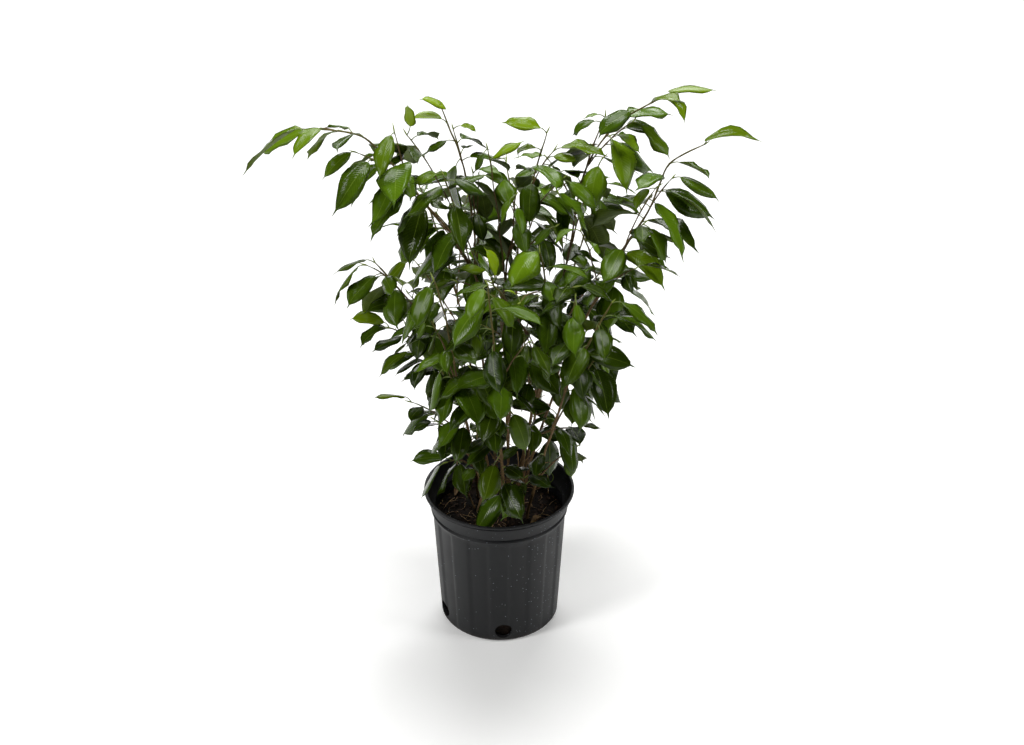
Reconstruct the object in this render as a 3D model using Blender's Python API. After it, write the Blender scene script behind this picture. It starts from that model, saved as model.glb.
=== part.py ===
"""A weeping fig in a fluted nursery pot: thirteen leafy stems standing in potting mix.

Metres, +Z up. The origin is the middle of the pot's underside. The front is -Y, and +X is to its right.
"""

import math
import random

import bmesh
import bpy
from mathutils import Vector
from mathutils.bvhtree import BVHTree
from mathutils.noise import noise

MM = 0.001
GAP = 0.3 * MM  # what pieces that touch keep between them

# Pot, a moulded nursery pot of the size sold as one trade gallon
POT_HEIGHT = 165 * MM
RIM_RADIUS = 82.5 * MM
COLLAR_FOOT_RADIUS = 74.6 * MM
COLLAR_HEIGHT = 24 * MM
BODY_TOP_RADIUS = 73.2 * MM
BODY_FOOT_RADIUS = 66.2 * MM
PANEL_TOP_DROP = 9 * MM  # from the collar's foot down to the top of the recessed panels
CORNER_RADIUS = 7 * MM
WALL = 1.6 * MM
FLUTES = 10
FLUTE_DEPTH = 1.4 * MM
FLUTE_FLAT_DEG = 6.5  # half the flat of a panel, as an angle
DRAIN_HOLES_DEG = (-68, 4, 112, 184)  # round the pot from the front towards +X
DRAIN_HOLE_RADIUS = 9.2 * MM
DRAIN_HOLE_HEIGHT = 14.5 * MM
DRAIN_HOLE_SIDES = 14
DRAIN_CUTTER_LENGTH = 24 * MM  # well past the wall on both sides

# Potting mix
MIX_LEVEL = 135 * MM
MIX_RELIEF = 3.5 * MM
FOOT_DEPTH = 35 * MM
NECK_HEIGHT = 8 * MM  # how far above the mix a stem still stands plumb
FOOT_HOLE_SIDES = 8
FOOT_CUTTER_TOP = 20 * MM  # above the mix's level, well clear of its hummocks

# Wood
STEM_FOOT_RADIUS = 3.0 * MM
STEM_TIP_RADIUS = 1.3 * MM
STEM_SIDES = 4
TWIG_ROOT_SHARE = 0.7  # a twig's radius at its root, as a share of its stem's there
TWIG_TIP_RADIUS = 1.1 * MM
TWIG_SIDES = 3
TWIG_SPANS = 3
TWIG_ARCH = 0.16  # how far a twig arches above the straight line to its tip, as a share of its length

# Leaves
LEAF_WIDTH_SHARE = 0.48
END_LEAF_SHARE = 0.86  # the youngest leaf's length, as a share of a full one's
PETIOLE = 8 * MM
PETIOLE_RADIUS = 0.4 * MM
PETIOLE_LIFT_DEG = 26  # how far the petiole stands up from the blade's own line
RIB_HEIGHT = 1.2 * MM
BLADE_OUTLINE = ((0.22, 0.90), (0.54, 0.92), (0.84, 0.17))  # share of length, share of half width
INTERNODE = 19 * MM
SPIRAL_DEG = 140  # from each leaf to the next round upright wood
SPIRAL_SHARE = 0.8  # how far that turns a leaf from straight outwards, so that most point out of the crown
LEVEL_WOOD = 0.62  # wood whose way is more level than this carries its leaves to each side in turn
PITCH_DEG = (-42, 4)  # each leaf draws its slope, roll, share of the stem's leaf length and bend from these
ROLL_DEG = (-22, 22)
LENGTH_SHARE = (0.84, 1.2)
BEND_DEG = (22, 52)
# Turns tried in order, as (heading, pitch, roll) in degrees, until a leaf is clear of all that stands round it
BENDS_DEG = (
    (0, 0, 0), (18, 0, 8), (-18, 0, -8), (0, -18, 0), (0, 20, 0), (34, -8, 0), (-34, -8, 0), (20, 24, -12),
    (-20, 24, 12), (50, 0, 14), (-50, 0, -14), (0, -36, 0), (38, 30, 0), (-38, 30, 0), (70, -14, 0), (-70, -14, 0),
)
CLEARANCE = 1.4 * MM

# Each stem: its foot and route (x, y, z in mm), how long its leaves grow, the share of it that carries leaves, where
# the tips of its outermost leaves reach if they are posed, from its end down, and its twigs, each as
# (share of the stem at its root, tip x, y, z in mm, number of leaves, and where its own outermost leaves reach)
STEMS = {
    "left_arm": {
        "route": (
            (5, 6), (2, 2, 215), (-6, -4, 345), (-30, -15, 444), (-76, -20, 515), (-128, -28, 579), (-184, -30, 588),
        ),
        "leaf": 60,
        "leafy_from": 0.56,
        "reaches": ((-241, -52, 543), (-201, -66, 567), (-185, 4, 537), (-176, -74, 576)),
        "twigs": (
            (0.94, -179, -8, 577, 1, (-234, 2, 541)),
            (0.78, -98, -30, 585, 4, (-111, -70, 544)),
            (0.68, -134, -45, 571, 5, (-161, -76, 546)),
            (0.54, -86, -44, 532, 4, (-115, -58, 501), (-92, -62, 486)),
            (0.56, -52, -46, 549, 6, (-76, -62, 533)),
            (0.50, -41, -26, 426, 1, (-69, -40, 418)),
        ),
    },
    "right_arm": {
        "route": (
            (27, 14), (38, 16, 200), (72, 10, 318), (110, 0, 415), (150, 0, 492), (168, 0, 540), (202, 0, 562),
        ),
        "leaf": 58,
        "leafy_from": 0.50,
        "reaches": ((263, -4, 553), None, (210, -20, 526)),
        "twigs": (
            (0.78, 171, -12, 531, 3, (216, -24, 504)),
            (0.70, 154, -28, 528, 3, (132, -42, 504)),
            (0.64, 142, -40, 495, 5, (159, -52, 452), (181, -8, 449)),
            (0.54, 136, -46, 450, 4, (182, -52, 435), (130, -62, 421)),
            (0.58, 81, -42, 488, 5, (53, -56, 472), (99, -52, 459)),
            (0.42, 81, -60, 375, 4, (110, -72, 335)),
            (0.32, 64, -68, 345, 2, (63, -78, 301)),
        ),
    },
    "top_right": {
        "route": (
            (20, 32), (32, 36, 215), (58, 48, 330), (76, 50, 440), (89, 50, 516), (122, 38, 571), (168, 25, 604),
        ),
        "leaf": 56,
        "leafy_from": 0.55,
        "reaches": ((216, 18, 603), (176, -12, 601), (100, 6, 557)),
        "twigs": (
            (0.76, 136, 50, 567, 4, (171, 44, 524)),
            (0.66, 51, 62, 523, 4, (13, 50, 521)),
            (0.84, 111, 28, 560, 2, (138, 14, 538)),
            (0.54, 103, 15, 540, 5, (95, 0, 486)),
            (0.72, 107, 36, 577, 3, (84, 30, 568)),
        ),
    },
    "top_left": {
        "route": ((1, 27), (-10, 32, 230), (-23, 44, 370), (-26, 46, 458), (-37, 46, 528), (-57, 45, 584)),
        "leaf": 54,
        "leafy_from": 0.50,
        "reaches": ((-81, 40, 589), (-90, 38, 568), (-72, 34, 534)),
        "twigs": (
            (0.74, -44, 34, 566, 5, (-21, 24, 556)),
            (0.62, -91, 30, 561, 3, (-96, 26, 593)),
            (0.56, -61, 12, 483, 5, (-82, -6, 430), (-69, -12, 430)),
            (0.50, -21, 60, 505, 4, (14, 50, 491)),
            (0.66, -25, 24, 523, 1, (8, 12, 515)),
        ),
    },
    "left_low": {
        "route": ((-24, 18), (-28, 10, 195), (-40, -10, 280), (-62, -25, 358), (-92, -34, 412), (-122, -36, 452)),
        "leaf": 50,
        "leafy_from": 0.40,
        "reaches": ((-163, -46, 434), (-131, -58, 430)),
        "twigs": (
            (0.82, -129, -48, 455, 4, (-158, -60, 411), (-139, -66, 401)),
            (0.62, -89, -50, 425, 4, (-69, -62, 414)),
            (0.54, -110, -50, 386, 4, (-152, -58, 393), (-111, -48, 406)),
            (0.42, -83, -58, 364, 4, (-117, -70, 333), (-85, -74, 323)),
            (0.22, -92, -24, 285, 3, (-135, -30, 289), (-103, -44, 267)),
            (0.14, -68, -34, 270, 2, (-60, -46, 243), (-54, -56, 225)),
            (0.12, -55, -36, 218, 3, (-80, -46, 173)),
        ),
    },
    "centre_right": {
        "route": ((19, -2), (27, -8, 208), (37, -28, 290), (43, -50, 375), (47, -60, 437), (41, -62, 474)),
        "leaf": 50,
        "leafy_from": 0.45,
        "reaches": ((15, -90, 441), (91, -84, 447), (28, -92, 402)),
        "twigs": (
            (0.80, 74, -84, 448, 6, (111, -94, 428)),
            (0.64, -11, -106, 453, 6, (9, -118, 412)),
            (0.52, -16, -112, 422, 5, (-19, -122, 388)),
            (0.60, -6, -104, 462, 1, (-19, -100, 498)),
            (0.86, 21, -126, 452, 1, (2, -130, 460)),
            (0.56, 42, -90, 376, 4, (54, -100, 343)),
            (0.38, 25, -100, 401, 5, (0, -88, 359)),
            (0.26, 82, -42, 264, 4, (108, -48, 257), (76, -56, 209)),
            (0.20, 9, -104, 325, 1, (24, -112, 274)),
            (0.36, 33, -76, 345, 1, (8, -90, 313)),
        ),
    },
    "centre": {
        "route": ((12, 18), (9, 22, 230), (5, 22, 370), (14, 20, 450), (34, 20, 514), (48, 20, 566)),
        "leaf": 52,
        "leafy_from": 0.45,
        "reaches": ((1, 10, 572), (15, 0, 542), (61, -48, 523)),
        "twigs": (
            (0.84, 56, 34, 542, 4, (111, 22, 533)),
            (0.72, 18, -24, 519, 5, (4, -38, 490), (22, -38, 476)),
            (0.68, 63, -15, 531, 5, (93, -28, 495)),
            (0.60, -10, 0, 558, 5, (-19, -14, 534), (24, -4, 570)),
            (0.44, -7, -44, 441, 5, (-56, -54, 444), (-22, -50, 475)),
            (0.62, 57, -30, 488, 1, (41, -44, 464)),
        ),
    },
    "front": {
        "route": ((7, -27), (4, -56, 222), (0, -92, 305), (-3, -125, 400), (-8, -150, 482)),
        "leaf": 46,
        "leafy_from": 0.36,
        "twigs": (
            (0.60, 30, -152, 424, 5),
            (0.34, -26, -118, 378, 5, (-9, -128, 333)),
            (0.18, 37, -56, 210, 3, (20, -70, 171)),
            (0.10, 14, -54, 203, 2, (11, -68, 162)),
            (0.14, -6, -50, 222, 1, (-13, -64, 189)),
        ),
    },
    "front_left": {
        "route": ((-13, -24), (-22, -58, 225), (-36, -95, 325), (-48, -125, 432), (-58, -140, 482)),
        "leaf": 46,
        "leafy_from": 0.36,
        "twigs": (
            (0.58, -66, -104, 428, 6, (-71, -112, 401)),
            (0.38, -50, -108, 374, 5, (-63, -118, 323)),
            (0.24, -22, -64, 276, 1, (-41, -76, 261)),
            (0.18, -2, -50, 230, 3, (-22, -78, 190)),
        ),
    },
    "front_right": {
        "route": ((31, -20), (42, -44, 208), (56, -76, 285), (76, -100, 368), (109, -112, 446)),
        "leaf": 46,
        "leafy_from": 0.38,
        "reaches": ((151, -122, 410), (152, -112, 395)),
        "twigs": (
            (0.62, 74, -120, 455, 5, (76, -130, 425)),
            (0.44, 105, -84, 380, 3, (131, -92, 361)),
            (0.18, 83, -32, 236, 2, (77, -44, 201)),
        ),
    },
    "back_left": {
        "route": ((-9, 38), (-26, 74, 230), (-42, 105, 320), (-64, 130, 400), (-88, 142, 464)),
        "leaf": 54,
        "leafy_from": 0.36,
        "twigs": ((0.62, -36, 160, 440, 4), (0.46, -94, 106, 390, 5), (0.28, -62, 128, 306, 4)),
    },
    "back_right": {
        "route": ((26, 42), (44, 80, 228), (68, 114, 315), (90, 136, 392), (112, 148, 458)),
        "leaf": 54,
        "leafy_from": 0.36,
        "twigs": ((0.62, 66, 168, 440, 4), (0.46, 124, 106, 388, 5), (0.28, 90, 130, 306, 4)),
    },
    "back": {
        "route": ((9, 49), (12, 92, 220), (18, 132, 315), (20, 158, 400), (8, 176, 474)),
        "leaf": 54,
        "leafy_from": 0.36,
        "twigs": ((0.62, 46, 186, 430, 4), (0.44, -18, 172, 372, 5), (0.26, 42, 160, 314, 4)),
    },
}


def clear_scene():
    """Removes every object that the file opened with."""
    for obj in list(bpy.data.objects):
        bpy.data.objects.remove(obj)


def material(name, colour, roughness):
    """A plain painted material. No piece here is a metal."""
    made = bpy.data.materials.new(name)
    made.use_nodes = True
    shader = made.node_tree.nodes["Principled BSDF"]
    shader.inputs["Base Color"].default_value = (*colour, 1)
    shader.inputs["Roughness"].default_value = roughness
    shader.inputs["Metallic"].default_value = 0
    made.diffuse_color = (*colour, 1)
    return made


def mesh_object(name, points, faces, collection=None):
    """A new mesh object from points and faces, in the given collection or the scene's own."""
    mesh = bpy.data.meshes.new(name)
    mesh.from_pydata([tuple(p) for p in points], [], faces)
    obj = bpy.data.objects.new(name, mesh)
    (collection or bpy.context.scene.collection).objects.link(obj)
    return obj


def loft(sections, tip=None):
    """Points and faces of a closed skin over sections of equal count, which ends flat or, with a tip, in a point."""
    count = len(sections[0])
    points = [p for section in sections for p in section]
    faces = [tuple(reversed(range(count)))]
    for row in range(len(sections) - 1):
        for k in range(count):
            a, b = row * count + k, row * count + (k + 1) % count
            faces.append((a, b, b + count, a + count))
    last = (len(sections) - 1) * count
    if tip is None:
        faces.append(tuple(range(last, last + count)))
    else:
        points.append(tip)
        faces.extend((last + k, last + (k + 1) % count, len(points) - 1) for k in range(count))
    return points, faces


def triangles(faces):
    """Faces as a fan of triangles each, for a search tree."""
    return [(face[0], face[k], face[k + 1]) for face in faces for k in range(1, len(face) - 1)]


def subtract(obj, cutter, name):
    """Cuts a helper object's shape out of an object."""
    cutter.hide_render = True
    cutter.display_type = "WIRE"
    cut = obj.modifiers.new(name, "BOOLEAN")
    cut.object = cutter
    cut.operation = "DIFFERENCE"


# Pot


def around_pot():
    """(angle, flute share) round the pot: 0 on a proud panel and 1 on a recessed one."""
    period = 360 / FLUTES
    found = []
    for flute in range(FLUTES):
        for centre, share in ((0, 0.0), (period / 2, 1.0)):
            for side in (-1, 1):
                angle = flute * period + centre + side * FLUTE_FLAT_DEG
                found.append((math.radians(angle), share))
    return found


def pot_ring(radius, height, flute=0.0):
    """One level ring of the pot's wall, with its recessed panels set in by flute times their depth."""
    ring = []
    for angle, share in around_pot():
        r = radius - share * flute * FLUTE_DEPTH
        ring.append(Vector((r * math.sin(angle), -r * math.cos(angle), height)))
    return ring


def body_radius(height):
    """The body's outer radius on its proud panels at a height."""
    return BODY_FOOT_RADIUS + (BODY_TOP_RADIUS - BODY_FOOT_RADIUS) * height / (POT_HEIGHT - COLLAR_HEIGHT)


def pot_outside():
    """The outer wall's (radius, height, flute share), from the underside up to the lip."""
    collar_foot = POT_HEIGHT - COLLAR_HEIGHT
    panel_top = collar_foot - PANEL_TOP_DROP
    corner = CORNER_RADIUS
    return (
        (BODY_FOOT_RADIUS - corner, 0.0, 0.0),
        (BODY_FOOT_RADIUS - corner * 0.3, corner * 0.3, 0.6),
        (body_radius(corner), corner, 1.0),
        (body_radius(panel_top), panel_top, 1.0),
        (BODY_TOP_RADIUS + 0.6 * MM, collar_foot - 4 * MM, 0.0),
        (COLLAR_FOOT_RADIUS - 1.4 * MM, collar_foot, 0.0),
        (COLLAR_FOOT_RADIUS + 0.6 * MM, collar_foot + 1.5 * MM, 0.0),
        (RIM_RADIUS - 2.2 * MM, POT_HEIGHT - 4.5 * MM, 0.0),
        (RIM_RADIUS, POT_HEIGHT - 3 * MM, 0.0),
        (RIM_RADIUS, POT_HEIGHT, 0.0),
    )


def pot_inside():
    """The inner wall's (radius, height, flute share), from the lip down to the floor."""
    collar_foot = POT_HEIGHT - COLLAR_HEIGHT
    panel_top = collar_foot - PANEL_TOP_DROP
    corner = CORNER_RADIUS
    return (
        (RIM_RADIUS - WALL - 1.6 * MM, POT_HEIGHT, 0.0),
        (COLLAR_FOOT_RADIUS - WALL, collar_foot + 1.5 * MM, 0.0),
        (body_radius(panel_top) - WALL, panel_top, 1.0),
        (body_radius(corner) - WALL, corner + WALL, 1.0),
        (BODY_FOOT_RADIUS - corner - WALL, WALL, 0.0),
    )


def build_pot():
    """The pot, with its drain holes cut through the corner."""
    sections = [pot_ring(*ring) for ring in (*pot_outside(), *pot_inside())]
    pot = mesh_object("pot", *loft(sections))
    for number, angle in enumerate(DRAIN_HOLES_DEG):
        a = math.radians(angle)
        bpy.ops.mesh.primitive_cylinder_add(
            vertices=DRAIN_HOLE_SIDES, radius=DRAIN_HOLE_RADIUS, depth=DRAIN_CUTTER_LENGTH
        )
        cutter = bpy.context.object
        cutter.name = f"drain_cutter_{number}"
        cutter.rotation_euler = (math.pi / 2, 0, a)
        cutter.location = (BODY_FOOT_RADIUS * math.sin(a), -BODY_FOOT_RADIUS * math.cos(a), DRAIN_HOLE_HEIGHT)
        subtract(pot, cutter, "drain_hole")
    pot.data.materials.append(material("black_moulded_plastic", (0.018, 0.019, 0.021), 0.42))
    smooth(pot, 35)
    return pot


# Potting mix


def mix_surface(x, y):
    """The height of the potting mix at a place: low hummocks, a little higher towards the middle."""
    lift = 1 - math.hypot(x, y) / BODY_TOP_RADIUS
    return MIX_LEVEL + MIX_RELIEF * (noise(Vector((x, y, 0)) * 45) + 0.8 * lift)


def build_mix(feet):
    """The potting mix: it fills the pot to a gap off its wall and has a plain hole for each stem's foot."""
    inset = WALL + GAP
    edge_height = POT_HEIGHT - COLLAR_HEIGHT - PANEL_TOP_DROP - 1 * MM
    edge_radius = body_radius(edge_height) - inset
    levels = (
        (BODY_FOOT_RADIUS - CORNER_RADIUS - inset - 1 * MM, WALL + GAP, 0.0),
        (body_radius(CORNER_RADIUS) - inset - 0.3 * MM, CORNER_RADIUS + WALL + GAP, 1.0),
        (edge_radius, edge_height, 1.0),
    )
    sections = [pot_ring(*level) for level in levels]
    for share in (0.68, 0.36):
        ring = pot_ring(edge_radius * share, 0)
        sections.append([Vector((p.x, p.y, mix_surface(p.x, p.y))) for p in ring])
    mix = mesh_object("potting_mix", *loft(sections, Vector((0, 0, mix_surface(0, 0)))))
    radius = (STEM_FOOT_RADIUS + GAP) / math.cos(math.pi / FOOT_HOLE_SIDES)
    low = MIX_LEVEL - FOOT_DEPTH - GAP
    high = MIX_LEVEL + FOOT_CUTTER_TOP
    for number, (x, y) in enumerate(feet):
        bpy.ops.mesh.primitive_cylinder_add(vertices=FOOT_HOLE_SIDES, radius=radius, depth=high - low)
        cutter = bpy.context.object
        cutter.name = f"foot_hole_cutter_{number}"
        cutter.location = (x * MM, y * MM, (low + high) / 2)
        subtract(mix, cutter, "foot_hole")
    mix.data.materials.append(material("peat_and_bark", (0.035, 0.022, 0.014), 0.95))
    return mix


# Wood


def curve_through(points, per_span):
    """Points on a smooth curve that passes through the given ones, per_span to each stretch."""
    ends = [points[0] * 2 - points[1], *points, points[-1] * 2 - points[-2]]
    found = []
    for a, b, c, d in zip(ends, ends[1:], ends[2:], ends[3:]):
        for k in range(per_span):
            t = k / per_span
            cubic = b * 3 - a - c * 3 + d
            square = a * 2 - b * 5 + c * 4 - d
            found.append(b + ((c - a) * t + square * t**2 + cubic * t**3) / 2)
    found.append(points[-1])
    return found


def stem_line(route):
    """A stem's stations: an upright foot in the potting mix, then a smooth rise through its route."""
    foot = Vector((*route[0], 0)) * MM
    low = foot + Vector((0, 0, MIX_LEVEL - FOOT_DEPTH))
    neck = foot + Vector((0, 0, MIX_LEVEL + NECK_HEIGHT))
    return [low, *curve_through([neck, *(Vector(p) * MM for p in route[1:])], 2)]


def twig_line(root, tip):
    """A twig's stations: it leaves its stem rising, and arches over to its tip."""
    middle = (root + tip) / 2 + Vector((0, 0, TWIG_ARCH * (tip - root).length))
    line = []
    for k in range(TWIG_SPANS + 1):
        t = k / TWIG_SPANS
        line.append(root * (1 - t) ** 2 + middle * 2 * t * (1 - t) + tip * t * t)
    return line


def lengths_along(line):
    """The distance along a line to each of its points."""
    found = [0.0]
    for a, b in zip(line, line[1:]):
        found.append(found[-1] + (b - a).length)
    return found


def place_on(line, distance):
    """(point, direction) at a distance along a line."""
    marks = lengths_along(line)
    distance = min(max(distance, 0), marks[-1])
    span = next(k for k in range(len(line) - 1) if distance <= marks[k + 1] or k == len(line) - 2)
    way = line[span + 1] - line[span]
    return line[span] + way * ((distance - marks[span]) / way.length), way.normalized()


class Stem:
    """Tapering wood, how many leaves of what length grow on it, and where the outermost ones reach if posed."""

    sides = STEM_SIDES
    first_edge = Vector((1, 0, 0))

    def __init__(self, line, radii, leaves, leaf_length, reaches=()):
        self.line = line
        self.length = lengths_along(line)[-1]
        self.radii = radii
        self.leaves = leaves
        self.leaf_length = leaf_length
        self.reaches = [place and Vector(place) * MM for place in reaches]
        self.points, self.faces = self.skin()

    def radius_at(self, distance):
        """The radius at a distance from the root."""
        root, tip = self.radii
        return root + (tip - root) * distance / self.length

    def way_at(self, station):
        """Which way the wood runs at one of its stations."""
        return self.line[min(station + 1, len(self.line) - 1)] - self.line[max(station - 1, 0)]

    def skin(self):
        """Points and faces of a closed tube of a few flat sides along the line."""
        sections = []
        side = self.first_edge
        for station, mark in enumerate(lengths_along(self.line)):
            along = self.way_at(station).normalized()
            side = (side - along * side.dot(along)).normalized()
            across = along.cross(side)
            turns = [2 * math.pi * n / self.sides for n in range(self.sides)]
            ring = [(side * math.cos(a) + across * math.sin(a)) * self.radius_at(mark) for a in turns]
            sections.append([self.line[station] + offset for offset in ring])
        return loft(sections)


class Twig(Stem):
    """Wood that arches out of a stem, with parallel sections, which keep its sides flat."""

    sides = TWIG_SIDES
    first_edge = Vector((0, 0, 1))

    def way_at(self, station):
        """Straight from root to tip, at every station."""
        return self.line[-1] - self.line[0]


def grow_stem(plan):
    """A stem and its twigs, as a list with the stem first."""
    line = stem_line(plan["route"])
    below = (line[1] - line[0]).length
    above = lengths_along(line)[-1] - below
    leaf_length = plan["leaf"] * MM
    own_leaves = int(above * (1 - plan["leafy_from"]) / INTERNODE)
    stem = Stem(line, (STEM_FOOT_RADIUS, STEM_TIP_RADIUS), own_leaves, leaf_length, plan.get("reaches", ()))
    wood = [stem]
    for share, x, y, z, leaves, *reaches in plan["twigs"]:
        distance = below + share * above
        root, _ = place_on(line, distance)
        radii = (TWIG_ROOT_SHARE * stem.radius_at(distance), TWIG_TIP_RADIUS)
        wood.append(Twig(twig_line(root, Vector((x, y, z)) * MM), radii, leaves, leaf_length, reaches))
    return wood


# Leaves


class Leaf:
    """One leaf: a petiole out of the wood and a blade that arches over in its own plane."""

    def __init__(self, root, wood_radius, heading, pitch, roll, length, bend):
        level = Vector((math.cos(heading), math.sin(heading), 0))
        up = Vector((0, 0, 1))
        flat_side = up.cross(level)
        flat_normal = up * math.cos(pitch) - level * math.sin(pitch)
        self.along = level * math.cos(pitch) + up * math.sin(pitch)
        self.side = flat_side * math.cos(roll) + flat_normal * math.sin(roll)
        self.normal = flat_normal * math.cos(roll) - flat_side * math.sin(roll)
        lift = math.radians(PETIOLE_LIFT_DEG)
        self.petiole_way = self.along * math.cos(lift) + self.normal * math.sin(lift)
        self.root = root
        self.wood_radius = wood_radius
        self.base = root + self.petiole_way * (wood_radius + PETIOLE)
        self.length = length
        self.half_width = length * LEAF_WIDTH_SHARE / 2
        self.bend = bend

    def rib(self, share):
        """(point, normal) of the midrib at a share of the blade's length."""
        turn = self.bend * share
        reach = self.length / self.bend
        point = self.base + self.along * (reach * math.sin(turn)) - self.normal * (reach * (1 - math.cos(turn)))
        return point, self.normal * math.cos(turn) + self.along * math.sin(turn)

    def section(self, share, half_width, height):
        """Three points across the blade: its two edges, and its rib raised on the upper face."""
        point, normal = self.rib(share)
        low = point - normal * (0.4 * height)
        return [low + self.side * half_width, point + normal * (0.6 * height), low - self.side * half_width]

    def solid(self):
        """Points and faces of the leaf, its root sunk in the wood."""
        back = self.root - self.base
        sections = [[p + back for p in self.section(0, PETIOLE_RADIUS, 2 * PETIOLE_RADIUS)]]
        sections.append(self.section(0, PETIOLE_RADIUS, 2 * PETIOLE_RADIUS))
        for share, width in BLADE_OUTLINE:
            sections.append(self.section(share, width * self.half_width, RIB_HEIGHT))
        return loft(sections, self.rib(1)[0])

    def room(self):
        """A search tree of the leaf with its clearance round it, from just outside the wood to past its tip."""
        sections = []
        for share, width in ((0.0, 0.3), (0.2, 1.0), (0.5, 1.08), (0.8, 0.55), (1.0, 0.06)):
            point, normal = self.rib(share)
            out = self.side * (width * self.half_width + CLEARANCE)
            thick = normal * CLEARANCE
            sections.append([point + out, point + thick, point - out, point - thick])
        start = self.root + self.petiole_way * (self.wood_radius + 2 * CLEARANCE)
        neck = [start + (p - self.base) * 0.3 for p in sections[0]]
        points, faces = loft([neck, *sections])
        middle = self.rib(0.4)[0]
        reach = max((p - middle).length for p in points)
        return BVHTree.FromPolygons(points, triangles(faces)), middle, reach


class Surroundings:
    """What already stands in the plant's space, for keeping leaves clear of it."""

    def __init__(self):
        self.taken = []

    def add(self, tree, middle, reach):
        """Takes up the space of one more piece."""
        self.taken.append((tree, middle, reach))

    def add_mesh(self, points, faces):
        """Takes up the space of a mesh."""
        middle = sum(points, Vector()) / len(points)
        reach = max((p - middle).length for p in points)
        self.add(BVHTree.FromPolygons(points, triangles(faces)), middle, reach)

    def is_clear(self, tree, middle, reach):
        """Whether a piece crosses nothing that stands there."""
        for other, other_middle, other_reach in self.taken:
            near = (other_middle - middle).length < reach + other_reach
            if near and tree.overlap(other):
                return False
        return True


def leaf_heading(point, way, rank, draw):
    """Which way a leaf points: in a spiral round upright wood, and to each side in turn of level wood."""
    if math.hypot(way.x, way.y) < LEVEL_WOOD:
        outwards = math.atan2(point.y, point.x)
        spiral = math.radians((rank * SPIRAL_DEG + draw.uniform(-20, 20)) % 360 - 180)
        return outwards + SPIRAL_SHARE * spiral
    side = 1 if rank % 2 else -1
    return math.atan2(way.y, way.x) + side * math.radians(draw.uniform(24, 60))


def fit_leaf(wood, distance, angles, length, bend, surroundings):
    """A list of one leaf at a distance along the wood, turned until it is clear, or of none if it can't be."""
    root, _ = place_on(wood.line, distance - 1 * MM)
    for offsets in BENDS_DEG:
        turned = [angle + math.radians(offset) for angle, offset in zip(angles, offsets)]
        leaf = Leaf(root, wood.radius_at(distance), *turned, length, bend)
        room = leaf.room()
        if surroundings.is_clear(*room):
            surroundings.add(*room)
            return [leaf]
    return []


def pose_leaves(wood, surroundings, draw):
    """The outermost leaves of a stem or twig that reach for places of their own, from its tip down."""
    found = []
    for rank, place in enumerate(wood.reaches):
        if place is None:
            continue
        distance = wood.length - rank * INTERNODE
        root, _ = place_on(wood.line, distance - 1 * MM)
        reach = place - root
        bend = math.radians(draw.uniform(*BEND_DEG))
        roll = math.radians(draw.uniform(*ROLL_DEG))
        pitch = math.asin(reach.z / reach.length) + bend / 2
        angles = math.atan2(reach.y, reach.x), pitch, roll
        length = (reach.length - PETIOLE) * (bend / 2) / math.sin(bend / 2)
        found += fit_leaf(wood, distance, angles, length, bend, surroundings)
    return found


def grow_leaves(wood, surroundings, draw):
    """The other leaves of a stem or twig, from its posed ones down."""
    found = []
    for rank in range(len(wood.reaches), wood.leaves):
        distance = wood.length - rank * INTERNODE * draw.uniform(0.85, 1.1)
        root, way = place_on(wood.line, distance - 1 * MM)
        heading = leaf_heading(root, way, rank, draw)
        pitch = math.radians(draw.uniform(*PITCH_DEG))
        roll = math.radians(draw.uniform(*ROLL_DEG))
        length = wood.leaf_length * draw.uniform(*LENGTH_SHARE)
        bend = math.radians(draw.uniform(*BEND_DEG))
        if rank == 0:
            heading = math.atan2(way.y, way.x) + math.radians(draw.uniform(-20, 20))
            length *= END_LEAF_SHARE
        found += fit_leaf(wood, distance, (heading, pitch, roll), length, bend, surroundings)
    return found


def fuse(name, base, additions, finish):
    """One body of a stem with its twigs and leaves, joined by a Boolean union."""
    obj = mesh_object(name, *base)
    gathered = bpy.data.collections.new(f"{name}_additions")
    bpy.context.scene.collection.children.link(gathered)
    for number, (points, faces) in enumerate(additions):
        mesh_object(f"{name}_addition_{number}", points, faces, gathered)
    union = obj.modifiers.new("union", "BOOLEAN")
    union.operation = "UNION"
    union.operand_type = "COLLECTION"
    union.collection = gathered
    bpy.context.view_layer.update()
    graph = bpy.context.evaluated_depsgraph_get()
    joined = bpy.data.meshes.new_from_object(obj.evaluated_get(graph))
    obj.modifiers.clear()
    obj.data = joined
    obj.data.materials.clear()
    obj.data.materials.append(finish)
    for addition in list(gathered.objects):
        bpy.data.objects.remove(addition)
    bpy.data.collections.remove(gathered)
    return obj


def smooth(obj, angle_deg):
    """Shades an object smooth but for its sharp edges."""
    obj.data.shade_smooth()
    obj.data.set_sharp_from_angle(angle=math.radians(angle_deg))


def evaluated_shape(obj):
    """Points and faces of an object with its modifiers."""
    shape = bmesh.new()
    shape.from_object(obj, bpy.context.evaluated_depsgraph_get())
    points = [vert.co.copy() for vert in shape.verts]
    faces = [tuple(vert.index for vert in face.verts) for face in shape.faces]
    shape.free()
    return points, faces


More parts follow.
